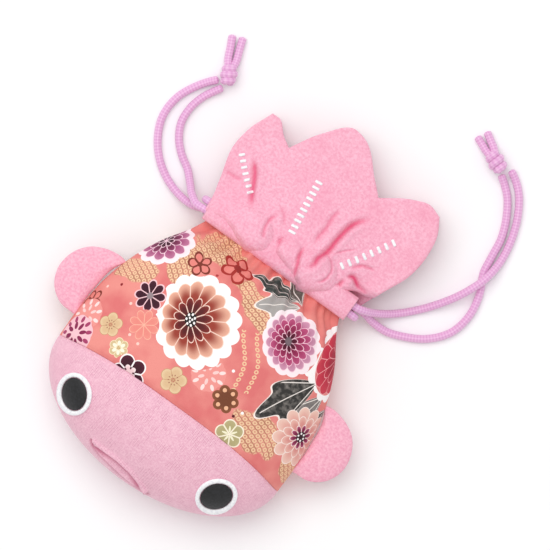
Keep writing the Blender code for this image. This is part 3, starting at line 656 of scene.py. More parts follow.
def with_leaf(tree, cloth, painted, stem, tip, shade, spread):
    """A lobed leaf with pale veins. Its edge, measured from the stem, is (1 - (angle / spread)^2) times a
    wave of three lobes, and its veins are rays from the stem."""
    start, end = np.array(flat_place(*stem)), np.array(flat_place(*tip))
    length = float(np.hypot(*(end - start)))
    direction = math.atan2(*(end - start)[::-1])
    spread = math.radians(spread)
    settings = {"Vector": cloth, "Location": (*start.tolist(), 0.0), "Rotation": (0.0, 0.0, direction), "Scale": (length, length, 1.0)}
    local = add(tree, "Mapping", settings, vector_type="TEXTURE")
    x, y = (add(tree, "SeparateXYZ", {0: local}, out=i) for i in range(2))
    curl = add(tree, "Math", {0: x, 1: x}, operation="MULTIPLY")
    y = add(tree, "Math", {0: curl, 1: -0.12, 2: y}, operation="MULTIPLY_ADD")
    angle = add(tree, "Math", {0: y, 1: x}, operation="ARCTAN2")
    radius = add(tree, "VectorMath", {0: add(tree, "CombineXYZ", {0: x, 1: y})}, out="Value", operation="LENGTH")
    turned = add(tree, "Math", {0: angle, 1: 1 / spread}, operation="MULTIPLY")
    narrowing = add(tree, "Math", {0: turned, 1: turned}, operation="MULTIPLY")
    narrowing = add(tree, "Math", {0: 1.0, 1: narrowing}, operation="SUBTRACT")
    lobes = add(tree, "Math", {0: add(tree, "Math", {0: turned, 1: 3.3 * math.pi}, operation="MULTIPLY")}, operation="COSINE")
    lobes = add(tree, "Math", {0: lobes, 1: 0.11, 2: 0.89}, operation="MULTIPLY_ADD")
    edge = add(tree, "Math", {0: narrowing, 1: lobes}, operation="MULTIPLY")
    from_edge = add(tree, "Math", {0: edge, 1: radius}, operation="SUBTRACT")
    rim = 0.45 / length
    leaf = add(tree, "Math", {0: from_edge, 1: 0.0}, operation="GREATER_THAN")
    outlined = add(tree, "Math", {0: from_edge, 1: -1.6 * rim}, operation="GREATER_THAN")
    vein = add(tree, "Math", {0: angle, 1: spread * 0.30}, operation="PINGPONG")
    vein = add(tree, "Math", {0: vein, 1: radius}, operation="MULTIPLY")
    vein = add(tree, "Math", {0: vein, 1: 0.42 * rim}, operation="LESS_THAN")
    vein = add(tree, "Math", {0: vein, 1: add(tree, "Math", {0: from_edge, 1: 0.07}, operation="GREATER_THAN")}, operation="MULTIPLY")
    streak = add(tree, "TexNoise", {"Vector": cloth, "Scale": 0.5, "Detail": 2.0})
    tone = add(tree, "Mix", {0: add(tree, "MapRange", {0: streak, 1: 0.45, 2: 0.75, 3: 0.0, 4: 0.6}), 6: colour(shade), 7: colour("A29A94")}, out=2, data_type="RGBA")
    veined = add(tree, "Mix", {0: vein, 6: tone, 7: colour("EFE6DF")}, out=2, data_type="RGBA")
    painted = add(tree, "Mix", {0: outlined, 6: painted, 7: colour("FBEDE6")}, out=2, data_type="RGBA")
    return add(tree, "Mix", {0: leaf, 6: painted, 7: veined}, out=2, data_type="RGBA")


def with_flowers(tree, cloth, painted):
    """Every flower of the print. A stamp hands on its own coordinates and its kind of flower where it
    lies, so each kind is drawn only once."""
    local, kind = (0.0, 0.0, 0.0), 0.0
    for name, *place in STAMPS:
        mapped, inside = on_stamp(tree, cloth, *place)
        local = add(tree, "Mix", {0: inside, 4: local, 5: mapped}, out=1, data_type="VECTOR")
        kind = add(tree, "Mix", {0: inside, 2: kind, 3: list(FLOWERS).index(name) + 1.0}, out=0, data_type="FLOAT")
    # The heart of a large flower sits off its middle, and the petals on that side are shorter
    outer = add(tree, "VectorMath", {0: local}, out="Value", operation="LENGTH")
    inward = add(tree, "Math", {0: 1.0, 1: outer}, operation="SUBTRACT")
    drawn_off = add(tree, "Math", {0: kind, 1: 2.5}, operation="LESS_THAN")
    shift = add(tree, "VectorMath", {0: (0.02, 0.19, 0.0), "Scale": add(tree, "Math", {0: inward, 1: drawn_off}, operation="MULTIPLY")}, operation="SCALE")
    centred = add(tree, "VectorMath", {0: local, 1: shift}, operation="ADD")
    x, y = (add(tree, "SeparateXYZ", {0: centred}, out=i) for i in range(2))
    angle = add(tree, "Math", {0: y, 1: x}, operation="ARCTAN2")
    radius = add(tree, "VectorMath", {0: centred}, out="Value", operation="LENGTH")
    for number, drawing in enumerate(FLOWERS.values()):
        fill, covered = flower(tree, angle, radius, drawing)
        chosen = add(tree, "Math", {0: kind, 1: number + 1.0, 2: 0.1}, operation="COMPARE")
        share = add(tree, "Math", {0: chosen, 1: covered}, operation="MULTIPLY")
        painted = add(tree, "Mix", {0: share, 6: painted, 7: fill}, out=2, data_type="RGBA")
    return painted


def print_cloth():
    """Polyester crepe printed with flowers, leaves and tie-dyed rings on coral: matt, with a fine weave."""
    made, tree, shader = new_material("printed_crepe")
    cloth = add(tree, "Attribute", out="Vector", attribute_name="cloth")
    place = add(tree, "TexCoord", out="Object")
    cloudy = add(tree, "TexNoise", {"Vector": cloth, "Scale": 0.06, "Detail": 3.0})
    painted = add(tree, "Mix", {0: add(tree, "MapRange", {0: cloudy, 1: 0.38, 2: 0.60}), 6: colour("DE7473"), 7: colour("EC9289")}, out=2, data_type="RGBA")
    painted = with_rings(tree, cloth, painted)
    for x, y, paint in DOTS:
        across, along = flat_place(x, y)
        distance = add(tree, "VectorMath", {0: cloth, 1: (across, along, 0.0)}, out="Value", operation="DISTANCE")
        dot = add(tree, "Math", {0: distance, 1: DOT_RADIUS}, operation="LESS_THAN")
        painted = add(tree, "Mix", {0: dot, 6: painted, 7: colour(paint)}, out=2, data_type="RGBA")
    for leaf in LEAVES:
        painted = with_leaf(tree, cloth, painted, *leaf)
    painted = with_flowers(tree, cloth, painted)
    tree.links.new(painted, shader.inputs["Base Color"])
    weave = add(tree, "TexNoise", {"Vector": place, "Scale": 1500.0, "Detail": 2.0})
    bump = add(tree, "Bump", {"Height": weave, "Strength": 0.25, "Distance": 0.0002})
    tree.links.new(bump, shader.inputs["Normal"])
    shader.inputs["Roughness"].default_value = 0.65
    shader.inputs["Specular IOR Level"].default_value = 0.3
    return made


# The bag


def across(count):
    """Places from -1 to 1 that crowd towards the ends, where the bag turns over."""
    return np.sin(np.linspace(-math.pi / 2, math.pi / 2, count))


def cloth_places(grid, rows_y, columns_s, side):
    """Places on the flat cloth in millimetres: the length of each row from its middle, and of the middle line."""
    steps = np.linalg.norm(np.diff(grid, axis=1), axis=-1)
    passed = np.concatenate([np.zeros((len(grid), 1)), np.cumsum(steps, axis=1)], axis=1)
    middle = grid.shape[1] // 2
    across_mm = (passed - passed[:, middle : middle + 1]) / MM
    along_mm = middle_length(grid[..., 1]) / MM
    if side == "back":
        across_mm, along_mm = across_mm + 30.0, 62.0 - along_mm
    return np.stack([across_mm, along_mm, np.zeros_like(across_mm)], axis=-1).reshape(-1, 3)


MOUTH_UPPER = [(-16.8, -74.0), (-12.2, -74.3), (-5.6, -74.3), (1.1, -75.1), (10.2, -77.6)]
MOUTH_LOWER = [(-15.6, -75.2), (-12.0, -76.2), (-7.7, -76.8), (-1.3, -77.7), (4.1, -78.1), (10.5, -77.9)]


def face_relief(x, y):
    """Height of the sewn mouth over the face, and the strength of the shadow painted under its two ridges."""
    upper, upper_side, _ = line_distance(x, y, np.array(MOUTH_UPPER) * MM)
    lower, lower_side, _ = line_distance(x, y, np.array(MOUTH_LOWER) * MM)
    ridge = 0.0007 * MM
    height = 0.0011 * np.exp(-((upper / 0.0007) ** 2)) + 0.0010 * np.exp(-((lower / 0.0006) ** 2))
    # Under each ridge the cloth dips, and the same band gets painted shadow
    under_upper = np.exp(-(((upper - 0.0011) / 0.0005) ** 2)) * (upper_side < 0)
    under_lower = np.exp(-(((lower - 0.0009) / 0.0005) ** 2)) * (lower_side < 0)
    height -= 0.0005 * (under_upper + under_lower)
    return height, np.clip(0.8 * (under_upper + under_lower), 0.0, 1.0)


def add_face(side, material):
    """The pink chin panel, from the face seam to the chin."""
    columns = across(260)[None, :]
    down = np.linspace(0.0, 1.0, 150)[:, None]
    start = FACE_SEAM_Y - FACE_SEAM_BEND * np.abs(columns) ** 3
    chin = CHIN_START - CHIN_DEPTH
    y = start + (chin - start) * np.sin(down * math.pi / 2)
    width, crown, belly, seam = bag_section(y)
    s = columns * np.ones_like(y)
    grid = np.stack([width * s, y, bag_height(crown, belly, seam, s, side)], axis=-1)
    places = cloth_places(grid, y, s, side)
    fold = np.zeros(s.shape)
    height = -0.0008 * np.exp(-(((start - y) / 0.0011) ** 2))
    if side == "front":
        # The mouth's raised ridges, and the strength of the shadow painted under them
        mouth, fold = face_relief(grid[..., 0], grid[..., 1])
        height += mouth
    height *= ease(1 - np.abs(s), 0.0, 0.03)
    outward = grid_normals(grid)
    outward *= np.sign(outward[..., 2:3] + 1e-9) * (1 if side == "front" else -1)
    grid = grid + outward * height[..., None]
    if side == "back":
        grid[..., 2] = np.maximum(grid[..., 2], 0.0)
    faces = grid_faces(*s.shape, flip=side == "front")
    piece = add_mesh("face_skin_" + side, grid.reshape(-1, 3), faces, material, cloth=places, fold=fold.ravel())
    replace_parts(thicken(piece, CLOTH_WALL), "face_" + side)
    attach(piece, "root")


PLEATS = [-25, -19.5, -13, -7.5, -4.3, 1.5, 7, 12, 18.5, 24.8, 28]


def body_relief(x, y):
    """Shallow waves all over, pleats that deepen towards the neck, and the dip where the cords draw it in."""
    near_neck = ease(y, -0.006, 0.018)
    height = 0.00025 * np.sin(x / 0.011 + 2 * np.sin(y / 0.016)) * np.sin(y / 0.013 + x / 0.03)
    for place in PLEATS:
        away = x - place * MM * (1.0 + 0.35 * (0.0187 - y) / 0.02)
        height = height - 0.0011 * near_neck * np.exp(-((away / 0.0013) ** 2))
        height = height + 0.0004 * near_neck * np.exp(-(((np.abs(away) - 0.0027) / 0.0013) ** 2))
    return height - 0.0030 * ease(y, 0.0090, 0.0187)


def add_body(side, material):
    """The printed panel, from the face seam to the gathers at the neck."""
    columns = across(270)[None, :]
    up = np.linspace(0.0, 1.0, 160)[:, None]
    start = FACE_SEAM_Y - FACE_SEAM_BEND * np.abs(columns) ** 3
    y = start + (BODY_TOP_Y[side] - start) * up
    width, crown, belly, seam = bag_section(y)
    s = columns * np.ones_like(y)
    grid = np.stack([width * s, y, bag_height(crown, belly, seam, s, side)], axis=-1)
    places = cloth_places(grid, y, s, side)
    height = body_relief(grid[..., 0], y) - 0.0008 * np.exp(-(((y - start) / 0.0011) ** 2))
    height *= ease(1 - np.abs(s), 0.0, 0.03)
    outward = grid_normals(grid)
    outward *= np.sign(outward[..., 2:3] + 1e-9) * (1 if side == "front" else -1)
    grid = grid + outward * height[..., None]
    if side == "back":
        grid[..., 2] = np.maximum(grid[..., 2], 0.0)
    faces = grid_faces(*s.shape, flip=side == "back")
    piece = add_mesh("print_skin_" + side, grid.reshape(-1, 3), faces, material, cloth=places)
    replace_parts(thicken(piece, CLOTH_WALL), "body_" + side)
    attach(piece, "root")


# The gathered neck and the tail


def channel_middle(x, side):
    share = np.clip(np.abs(x) / CHANNEL_HALF_LENGTH, 0.0, 1.0)
    rise = CHANNEL_REST + CHANNEL_RISE * np.cos(share * math.pi / 2)
    return NECK_SEAM_Z + (rise if side == "front" else -rise)


# Puffs of crepe over the channel: middle, half sizes, height
PUFFS = [
    (-26.5, 26.0, 7.5, 6.5, 1.6), (-16.5, 25.0, 10.5, 8.5, 3.6), (1.0, 25.2, 6.0, 7.5, 2.6),
    (13.2, 26.4, 9.5, 8.6, 3.8), (29.5, 26.5, 5.5, 4.5, 1.8),
]
# Creases: points, depth in mm, half width in mm, drop of the left-hand side in mm, strength of the shade painted into
# it from 0 to 1
CREASES = [
    ([(-30.0, 48.1), (-27.0, 44.6), (-24.5, 40.4), (-22.4, 36.2), (-20.3, 32.6)], 1.6, 1.1, -1.2, 0.8),
    ([(-37.4, 38.1), (-32.9, 38.5), (-28.7, 39.1)], 0.6, 0.8, 0.0, 0.35),
    ([(-9.4, 25.4), (-11.3, 28.7), (-11.8, 32.6), (-10.7, 36.2)], 0.9, 0.6, 0.3, 0.5),
    ([(-5.9, 34.0), (-7.8, 36.8), (-12.0, 40.0)], 0.5, 0.6, 0.0, 0.3),
    ([(-3.5, 21.0), (-3.8, 26.6), (-3.9, 30.8)], 1.2, 0.7, 0.0, 0.5),
    ([(8.5, 19.4), (6.9, 24.9), (5.5, 28.1), (4.8, 32.3)], 1.4, 0.7, 0.4, 0.7),
    ([(7.8, 35.4), (7.0, 37.7), (7.5, 42.3), (7.2, 48.6), (7.8, 52.3)], 0.8, 0.9, 0.4, 0.5),
    ([(9.3, 26.5), (11.8, 28.5), (11.6, 32.1), (12.9, 34.9), (13.5, 41.9), (15.2, 50.4), (19.0, 55.7)], 2.0, 1.1, 0.8, 0.9),
    ([(13.2, 35.1), (16.2, 33.9), (18.5, 30.9), (18.5, 27.0), (16.2, 23.7)], 0.7, 0.5, 0.0, 0.5),
    ([(15.3, 36.6), (18.4, 40.2), (21.7, 43.4)], 0.5, 0.4, 0.0, 0.4),
    ([(24.2, 36.5), (27.0, 39.4), (31.8, 40.8)], 0.7, 0.6, 0.0, 0.5),
    ([(24.5, 32.5), (26.3, 33.8), (30.4, 32.0), (35.5, 31.5)], 1.8, 1.0, 0.8, 1.0),
    ([(22.6, 22.5), (23.8, 27.0), (24.2, 31.5)], 1.5, 0.7, 0.0, 0.6),
]


def crease_relief(x, y):
    """Depth of the creases at (x, y), and the strength of the shade painted into them. A crease is a round valley
    between two low ridges that fades at both its ends, and one side of it may lie lower."""
    height, fold = np.zeros(np.shape(x)), np.zeros(np.shape(x))
    for points, depth, half_width, drop, tint in CREASES:
        line = smooth_route(points, np.linspace(0.0, 1.0, 16)) * MM
        distance, side, share = line_distance(x, y, line)
        fade = ease(share, -0.05, 0.2) * ease(1 - share, -0.05, 0.25)
        near = distance / (half_width * MM)
        valley = np.exp(-(near**2)) * fade
        banks = np.exp(-((near - 2.2) ** 2)) * fade
        step = side * (1 - np.exp(-(near**2))) * np.exp(-(distance / 0.007) ** 2) * fade
        height += MM * (-depth * valley + 0.3 * depth * banks - 0.5 * drop * step)
        # Painted shade along the crease, strongest on its middle line
        fold = np.maximum(fold, tint * np.exp(-((distance / (0.75 * half_width * MM)) ** 2)) * fade)
    return height, fold


def crepe_outline(side):
    """The edges of the crepe seen from above, in metres: bottom, lobes, left and right."""
    bottom = smooth_route(CREPE_BOTTOM[side], np.linspace(0.0, 1.0, 121))
    lobes = [smooth_route(points, np.linspace(0.0, 1.0, 41)) for points in TAIL_LOBES]
    lobes = np.concatenate([lobes[0], lobes[1][1:], lobes[2][1:]])
    return bottom * MM, lobes * MM, np.array(CREPE_LEFT) * MM, np.array(CREPE_RIGHT[side]) * MM


def round_edge(distance, radius):
    """Quarter circle: 0 at an edge, 1 from radius inwards."""
    share = np.clip(distance / radius, 0.0, 1.0)
    return np.sqrt(1 - (1 - share) ** 2)


def crepe_skins(x, y, side):
    """Heights of the outer and inner skin of the crepe at (x, y), and the strength of the shade painted into its
    creases.
    """
    sign = 1.0 if side == "front" else -1.0
    bottom, lobes, left, right = crepe_outline(side)
    from_bottom = line_distance(x, y, bottom)[0]
    left, right = (smooth_route(edge, np.linspace(0.0, 1.0, 30)) for edge in (left, right))
    from_rim = np.minimum(line_distance(x, y, lobes)[0], np.minimum(line_distance(x, y, left)[0], line_distance(x, y, right)[0]))
    middle = channel_middle(x, side)
    up = ease(y, 0.026, 0.066)
    outer = (middle + sign * CHANNEL_HALF_HEIGHT) * (1 - up) + (TAIL_TIP_Z[side] + sign * 0.0010) * up
    puff = np.zeros(np.shape(x))
    for cx, cy, rx, ry, high in PUFFS:
        rho = ((x / MM - cx) / rx) ** 2 + ((y / MM - cy) / ry) ** 2
        puff = np.maximum(puff, high * MM * np.maximum(1 - rho, 0.0) ** 0.7)
    relief, fold = crease_relief(x, y)
    away = ease(np.minimum(from_rim, from_bottom), 0.0, 0.003)
    if side == "front":
        outer = outer + puff + relief * away
    else:
        outer = outer - 0.3 * puff - 0.5 * relief * away
    ground = outer - sign * 0.0050
    outer = ground + (outer - ground) * round_edge(from_bottom, 0.0032)
    thick = 0.0020 * round_edge(np.minimum(from_rim, from_bottom), 0.0010)
    inner = outer - sign * thick
    outer = outer - sign * 0.0010 * (1 - round_edge(from_rim, 0.0010))
    inner = outer - sign * thick
    if side == "back":
        lift = np.maximum(0.0002 - outer, 0.0)
        outer, inner = outer + lift, inner + lift
    # The shade painted into the creases fades out near the edges
    return outer, inner, fold * away


def add_crepe(side, material):
    """Channel cover and tail in one gathered sheet: two skins over the patch between its four edges."""
    bottom, lobes, left, right = crepe_outline(side)
    u = np.linspace(0.0, 1.0, 200)[None, :, None]
    v = (np.linspace(0.0, 1.0, 150) ** 1.15)[:, None, None]
    low = smooth_route(bottom, u[0, :, 0])[None]
    high = smooth_route(lobes, u[0, :, 0])[None]
    start = smooth_route(left, v[:, 0, 0])[:, None]
    end = smooth_route(right, v[:, 0, 0])[:, None]
    corners = (1 - v) * ((1 - u) * low[:, :1] + u * low[:, -1:]) + v * ((1 - u) * high[:, :1] + u * high[:, -1:])
    flat = (1 - v) * low + v * high + (1 - u) * start + u * end - corners
    x, y = flat[..., 0], flat[..., 1]
    outer, inner, fold = crepe_skins(x, y, side)
    rows, columns = x.shape
    top = np.stack([x, y, outer], axis=-1).reshape(-1, 3)
    under = np.stack([x, y, inner], axis=-1).reshape(-1, 3)
    faces = np.concatenate([
        grid_faces(rows, columns, flip=side == "back"),
        grid_faces(rows, columns, flip=side == "front") + rows * columns,
    ])
    piece = add_mesh(
        "crepe_" + side, np.concatenate([top, under]), faces, material, fold=np.tile(fold.ravel(), 2)
    )
    weld = piece.modifiers.new("Weld", "WELD")
    weld.merge_threshold = 1e-5
    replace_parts(piece, "channel_" + side, "tail_" + side)
    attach(piece, "root")
    return piece


def add_sleeve(side, material):
    """The channel that the cords run in, a flat sleeve that shows at its two open ends."""
    corner = 0.0022
    half_y, half_z = 0.0045 - corner, CHANNEL_HALF_HEIGHT - corner
    angle = np.linspace(0.0, 2 * math.pi, 40, endpoint=False)[None, :]
    x = np.linspace(-0.0332, 0.0332, 90)[:, None]
    ripple = 1 + 0.06 * np.sin(7 * angle + 2.0) * ease(np.abs(x), 0.020, 0.033)
    ring_y = CHANNEL_Y + np.sign(np.cos(angle)) * half_y + corner * np.cos(angle) * ripple
    ring_z = np.sign(np.sin(angle)) * half_z + corner * np.sin(angle) * ripple
    grid = np.stack([x * np.ones_like(ring_y), ring_y * np.ones_like(x), channel_middle(x, side) + ring_z], axis=-1)
    piece = add_mesh("sleeve_" + side, grid.reshape(-1, 3), grid_faces(90, 40, wrap=True, flip=True), material, fold=np.zeros(3600))
    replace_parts(thicken(piece, 0.0006), "channel_" + side)
    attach(piece, "root")


# Fins, eyes


def add_fin(side, material):
    """A padded petal: rings shrink from its outline to its middle, and its thickness is that of a cushion."""
    sign = -1.0 if side == "left" else 1.0
    outline = smooth_route(FIN_OUTLINE, np.linspace(0.0, 1.0, 90)) * MM
    seam = smooth_route([FIN_OUTLINE[-1], (49.5, -18.0), (50.6, -26.0), (50.9, -34.0), FIN_OUTLINE[0]], np.linspace(0.0, 1.0, 50)) * MM
    edge = np.concatenate([outline[:-1], seam[:-1]])
    middle = np.array([0.0570, -0.0258])
    share = np.sin(np.linspace(0.0, math.pi / 2, 26))[:, None, None]
    flat = middle + share * (edge - middle)[None]
    puff = np.sqrt(1 - share[..., 0] ** 2) * np.ones(len(edge))
    pucker = 1 + 0.07 * np.sin(np.arange(len(edge)) * 2.1) * ease(share[..., 0], 0.75, 0.95)
    height = 0.0021 * puff * pucker
    droop = 0.0150 - np.maximum(flat[..., 0] - 0.0500, 0.0) * math.tan(math.radians(6))
    top = np.stack([sign * flat[..., 0], flat[..., 1], droop + height], axis=-1)
    under = np.stack([sign * flat[..., 0], flat[..., 1], droop - height], axis=-1)
    count = len(edge)
    faces = np.concatenate([
        grid_faces(26, count, wrap=True, flip=side == "right"),
        grid_faces(26, count, wrap=True, flip=side == "left") + 26 * count,
    ])
    points = np.concatenate([top.reshape(-1, 3), under.reshape(-1, 3)])
    piece = add_mesh("fin_pad_" + side, points, faces, material, fold=np.zeros(len(points)))
    weld = piece.modifiers.new("Weld", "WELD")
    weld.merge_threshold = 1e-6
    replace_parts(piece, "fin_" + side)
    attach(piece, "root")


def on_face(x, y):
    width, crown, belly, seam = bag_section(y)
    return bag_height(crown, belly, seam, x / width, "front")


def face_points(sign, radial, angle, lift):
    """Points of an eye on the face: the oval scaled by radial (metres added to its half sizes) and raised by lift."""
    a = (EYE_HALF_SIZE[0] + radial) * np.cos(angle)
    b = (EYE_HALF_SIZE[1] + radial) * np.sin(angle)
    turn = math.pi / 2 - EYE_TURN
    x = EYE_CENTRE[0] + a * math.cos(turn) - b * math.sin(turn)
    y = EYE_CENTRE[1] + a * math.sin(turn) + b * math.cos(turn)
    nudge = 1e-4
    slope_x = (on_face(x + nudge, y) - on_face(x - nudge, y)) / (2 * nudge)
    slope_y = (on_face(x, y + nudge) - on_face(x, y - nudge)) / (2 * nudge)
    normal = np.stack([-slope_x, -slope_y, np.ones_like(x)], axis=-1)
    normal /= np.linalg.norm(normal, axis=-1, keepdims=True)
    points = np.stack([x, y, on_face(x, y)], axis=-1) + normal * lift[..., None]
    return points * np.array([sign, 1.0, 1.0])


def add_eye(side, black, white):
    """A domed black oval, and around it a round band of satin stitches."""
    sign = -1.0 if side == "left" else 1.0
    angle = np.linspace(0.0, 2 * math.pi, 120, endpoint=False)[None, :]
    share = np.linspace(0.0, 1.0, 24)[:, None]
    inward = -(EYE_HALF_SIZE[1] + 0.0) * (1 - share) * np.ones_like(angle)
    lift = 0.0004 + 0.0007 * np.sqrt(1 - 0.95 * share**2) * np.ones_like(angle)
    patch = face_points(sign, inward, angle, lift)
    piece = add_mesh("eye_" + side, patch.reshape(-1, 3), grid_faces(24, 120, wrap=True, flip=side == "right"), black)
    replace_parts(thicken(piece, 0.0004), "eye_patch_" + side)
    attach(piece, "root")

    section = np.linspace(0.0, 2 * math.pi, 20, endpoint=False)[None, :]
    round_angle = np.linspace(0.0, 2 * math.pi, 480, endpoint=False)[:, None]
    thread = 0.00006 * np.sin(round_angle * 88)
    half = 0.00085
    radial = 0.0011 + (half + 0 * thread) * np.cos(section) + 0 * round_angle
    lift = 0.0005 + (0.0007 + thread) * np.sin(section)
    ring = face_points(sign, radial, round_angle * np.ones_like(section), lift * np.ones_like(radial))
    piece = add_mesh("eye_stitches_" + side, ring.reshape(-1, 3), grid_faces(481, 20, wrap=True, flip=side == "left") % (480 * 20), white)
    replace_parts(piece, "eye_edge_" + side)
    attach(piece, "root")


# Stitches on the tail
STITCH_ROWS = {
    "left": ([(-34.8, 46.9), (-29.2, 41.6), (-23.9, 37.2)], 7, 2.6, 1.25),
    "middle": ([(-4.9, 55.4), (-3.6, 44.5), (-2.2, 34.2)], 10, 3.2, 1.25),
    "right": ([(31.6, 53.4), (26.4, 44.2), (20.7, 34.9)], 8, 3.0, 1.35),
}


def add_stitches(name, points, count, length, width, material):
    """Satin-stitch bars across a row: each is a low rounded ridge of white thread lying on the crepe."""
    route = smooth_route(points, np.linspace(0.0, 1.0, count)) * MM
    forward = np.gradient(route, axis=0)
    forward /= np.linalg.norm(forward, axis=1, keepdims=True)
    aside = np.stack([-forward[:, 1], forward[:, 0]], axis=1)
    a = np.linspace(-1.0, 1.0, 17)[None, :, None]
    b = np.linspace(-1.0, 1.0, 9)[None, None, :]
    taper = (1 - 0.35 * a**6)
    x = route[:, 0, None, None] + aside[:, 0, None, None] * a * length / 2 * MM + forward[:, 0, None, None] * b * taper * width / 2 * MM
    y = route[:, 1, None, None] + aside[:, 1, None, None] * a * length / 2 * MM + forward[:, 1, None, None] * b * taper * width / 2 * MM
    rise = np.sqrt(np.maximum((1 - a**8) * (1 - b**4), 0.0)) * np.ones((count, 1, 1))
    z = crepe_skins(x, y, "front")[0]
    top = np.stack([x, y, z - 0.0002 + 0.0008 * rise], axis=-1)
    under = np.stack([x, y, z - 0.0003 + 0 * rise], axis=-1)
    single = grid_faces(17, 9, flip=True)
    size = 17 * 9
    upper = np.concatenate([single + i * size for i in range(count)])
    lower = upper[:, ::-1] + count * size
    piece = add_mesh("stitches_" + name, np.concatenate([top.reshape(-1, 3), under.reshape(-1, 3)]), np.concatenate([upper, lower]), material)
    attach(piece, "root")


# Cords and knots


def tube_frames(path, reference):
    """Unit vectors across a path: level with the reference direction, and square to it."""
    ahead = np.gradient(path, axis=0)
    ahead /= np.linalg.norm(ahead, axis=1, keepdims=True)
    aside = np.cross(reference, ahead)
    aside /= np.linalg.norm(aside, axis=1, keepdims=True)
    return aside, np.cross(ahead, aside)


def add_tube(name, points, material, reference=(0.0, 0.0, 1.0), step=CORD_STEP):
    """A braided cord: a circle carried along the smooth route, with a raised spot where two strands cross."""
    points = np.array(points, float) * MM
    length = np.linalg.norm(np.diff(points, axis=0), axis=1).sum()
    count = int(length / step)
    path = smooth_route(points, np.linspace(0.0, 1.0, count))
    passed = np.concatenate([[0.0], np.cumsum(np.linalg.norm(np.diff(path, axis=0), axis=1))])
    aside, upward = tube_frames(path, np.array(reference))
    angle = np.linspace(0.0, 2 * math.pi, CORD_FACETS, endpoint=False)[None, :]
    turn = passed[:, None] * 2 * math.pi / BRAID_PITCH
    relief = 0.5 + 0.5 * np.cos(4 * angle + turn) * np.cos(4 * angle - turn)
    radius = CORD_RADIUS - BRAID_RELIEF / 2 + BRAID_RELIEF * relief
    ends = np.minimum(passed, passed[-1] - passed)[:, None]
    radius = radius * (0.25 + 0.75 * round_edge(ends, 0.0009))
    ring = aside[:, None] * np.cos(angle)[..., None] + upward[:, None] * np.sin(angle)[..., None]
    grid = path[:, None] + ring * radius[..., None]
    # The third value, the height of the braid, also sets the cord's painted highlight and shade
    braid = np.stack([passed[:, None] * np.ones_like(angle), angle * np.ones_like(turn), relief], axis=-1)
    faces = grid_faces(count, CORD_FACETS, wrap=True)
    cap = np.array([np.arange(CORD_FACETS)[::-1], (count - 1) * CORD_FACETS + np.arange(CORD_FACETS)])
    faces = faces.tolist() + cap.tolist()
    piece = add_mesh(name, grid.reshape(-1, 3), faces, material, braid=braid.reshape(-1, 3))
    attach(piece, "root")
    return piece, path


def channel_run(sign, row):
    """A cord's way in at one end of the front channel, round the far end, and out of the back channel."""
    inside = np.linspace(sign * 30.5, -sign * 33.0, 9)
    front = [(x, row, float(channel_middle(x * MM, "front")) / MM) for x in inside]
    back = [(x, row, float(channel_middle(x * MM, "back")) / MM) for x in inside[::-1]]
    turns = [(-sign * (33.2 + 2.9 * math.sin(math.radians(d))), row, 11 + 2.9 * math.cos(math.radians(d))) for d in (30, 60, 90, 120, 150)]
    return front + turns + back


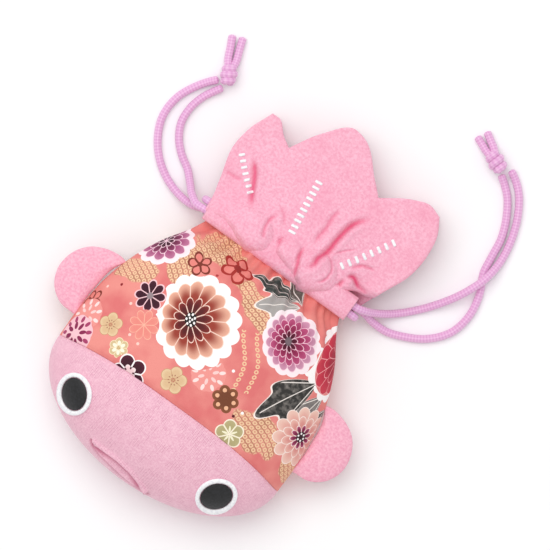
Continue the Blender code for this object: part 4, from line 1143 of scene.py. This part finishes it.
def add_knot(side, material):
    """An overhand knot in the doubled cord: wraps round the cord's own line, and two ends beyond it."""
    middle, tip, long, wide = KNOTS[side]
    middle, tip = np.array(middle), np.array([*tip, 1.7])
    ahead = tip - middle
    ahead[2] = 0.0
    reach = np.linalg.norm(ahead)
    ahead /= reach
    aside = np.array([-ahead[1], ahead[0], 0.0])
    up = np.array([0.0, 0.0, 1.0])
    t = np.linspace(0.0, 1.0, 60)[:, None]
    turn = 2 * math.pi * 2.35 * t + 0.6
    swell = 0.82 + 0.18 * np.sin(math.pi * t)
    around = (wide / 2 - 1.5) * swell
    wraps = middle + ahead * (t - 0.5) * (long - 3.0) + aside * around * np.cos(turn) + up * around * np.sin(turn)
    pieces = [add_tube(f"knot_wrap_{side}", wraps, material, reference=ahead)[0]]
    for number, sign in enumerate((-1.0, 1.0)):
        spread = np.array([-4.2, -1.0, 2.5, 5.0, reach * 0.7, reach])
        offset = np.array([1.2, 0.9, 0.9, 1.5, 1.8, 2.1]) * sign
        height = np.array([3.6, 4.0, 3.4, 2.4, 1.7, 1.6])
        route = middle[None] * np.array([1, 1, 0]) + ahead * spread[:, None] + aside * offset[:, None] + up * height[:, None]
        pieces.append(add_tube(f"knot_end_{side}_{number}", route, material)[0])
    for piece in pieces:
        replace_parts(piece, "knot_" + side)
    return pieces


def add_cords(material):
    knots = {side: add_knot(side, material) for side in KNOTS}
    strands = (
        ("left_outer", LEFT_OUTER[::-1], "left", "limp"),
        ("left_inner", LEFT_INNER, "left", "limp"),
        ("right_upper", RIGHT_UPPER[::-1], "right", "limp"),
        ("right_lower", RIGHT_LOWER, "right", "limp"),
    )
    for name, points, side, stiffness in strands:
        piece, path = add_tube("cord_" + name, points, material)
        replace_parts(piece, "cord_" + side)
    for side, sign, row in (("left", -1.0, 21.8), ("right", 1.0, 25.2)):
        piece, _ = add_tube("cord_run_" + side, channel_run(sign, row), material, reference=(0.0, 1.0, 0.0), step=0.0005)
        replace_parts(piece, "cord_" + side)


def main():
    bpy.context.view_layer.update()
    add_camera_and_light()
    add_floor()
    add_cords(cord_rayon())
    chirimen = crepe()
    satin = face_cloth()
    printed = print_cloth()
    fin_cloth = plain_cloth("fin_crepe", "F9BCCD", "EE9FB8", 0.75)
    black = plain_cloth("black_velveteen", "1C1C20", "0A0A0C", 0.5)
    white = plain_cloth("white_rayon_thread", "FFFFFF", "E9E9EE", 0.4)
    for side in ("front", "back"):
        add_face(side, satin)
        add_body(side, printed)
        sheet = add_crepe(side, chirimen)
        add_sleeve(side, chirimen)
    for side in ("left", "right"):
        add_fin(side, fin_cloth)
        add_eye(side, black, white)
    for name, (points, count, length, width) in STITCH_ROWS.items():
        add_stitches(name, points, count, length, width, white)
    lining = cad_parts["lining"]
    lining.data.materials.clear()
    lining.data.materials.append(plain_cloth("lining_cotton", "F1CFC9", "E7BDB6", 0.85))


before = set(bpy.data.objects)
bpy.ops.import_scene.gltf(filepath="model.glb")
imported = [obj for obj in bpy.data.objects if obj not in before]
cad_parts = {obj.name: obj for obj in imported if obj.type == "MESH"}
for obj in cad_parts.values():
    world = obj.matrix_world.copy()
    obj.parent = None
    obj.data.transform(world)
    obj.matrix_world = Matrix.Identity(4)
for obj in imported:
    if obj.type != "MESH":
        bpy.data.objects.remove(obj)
main()
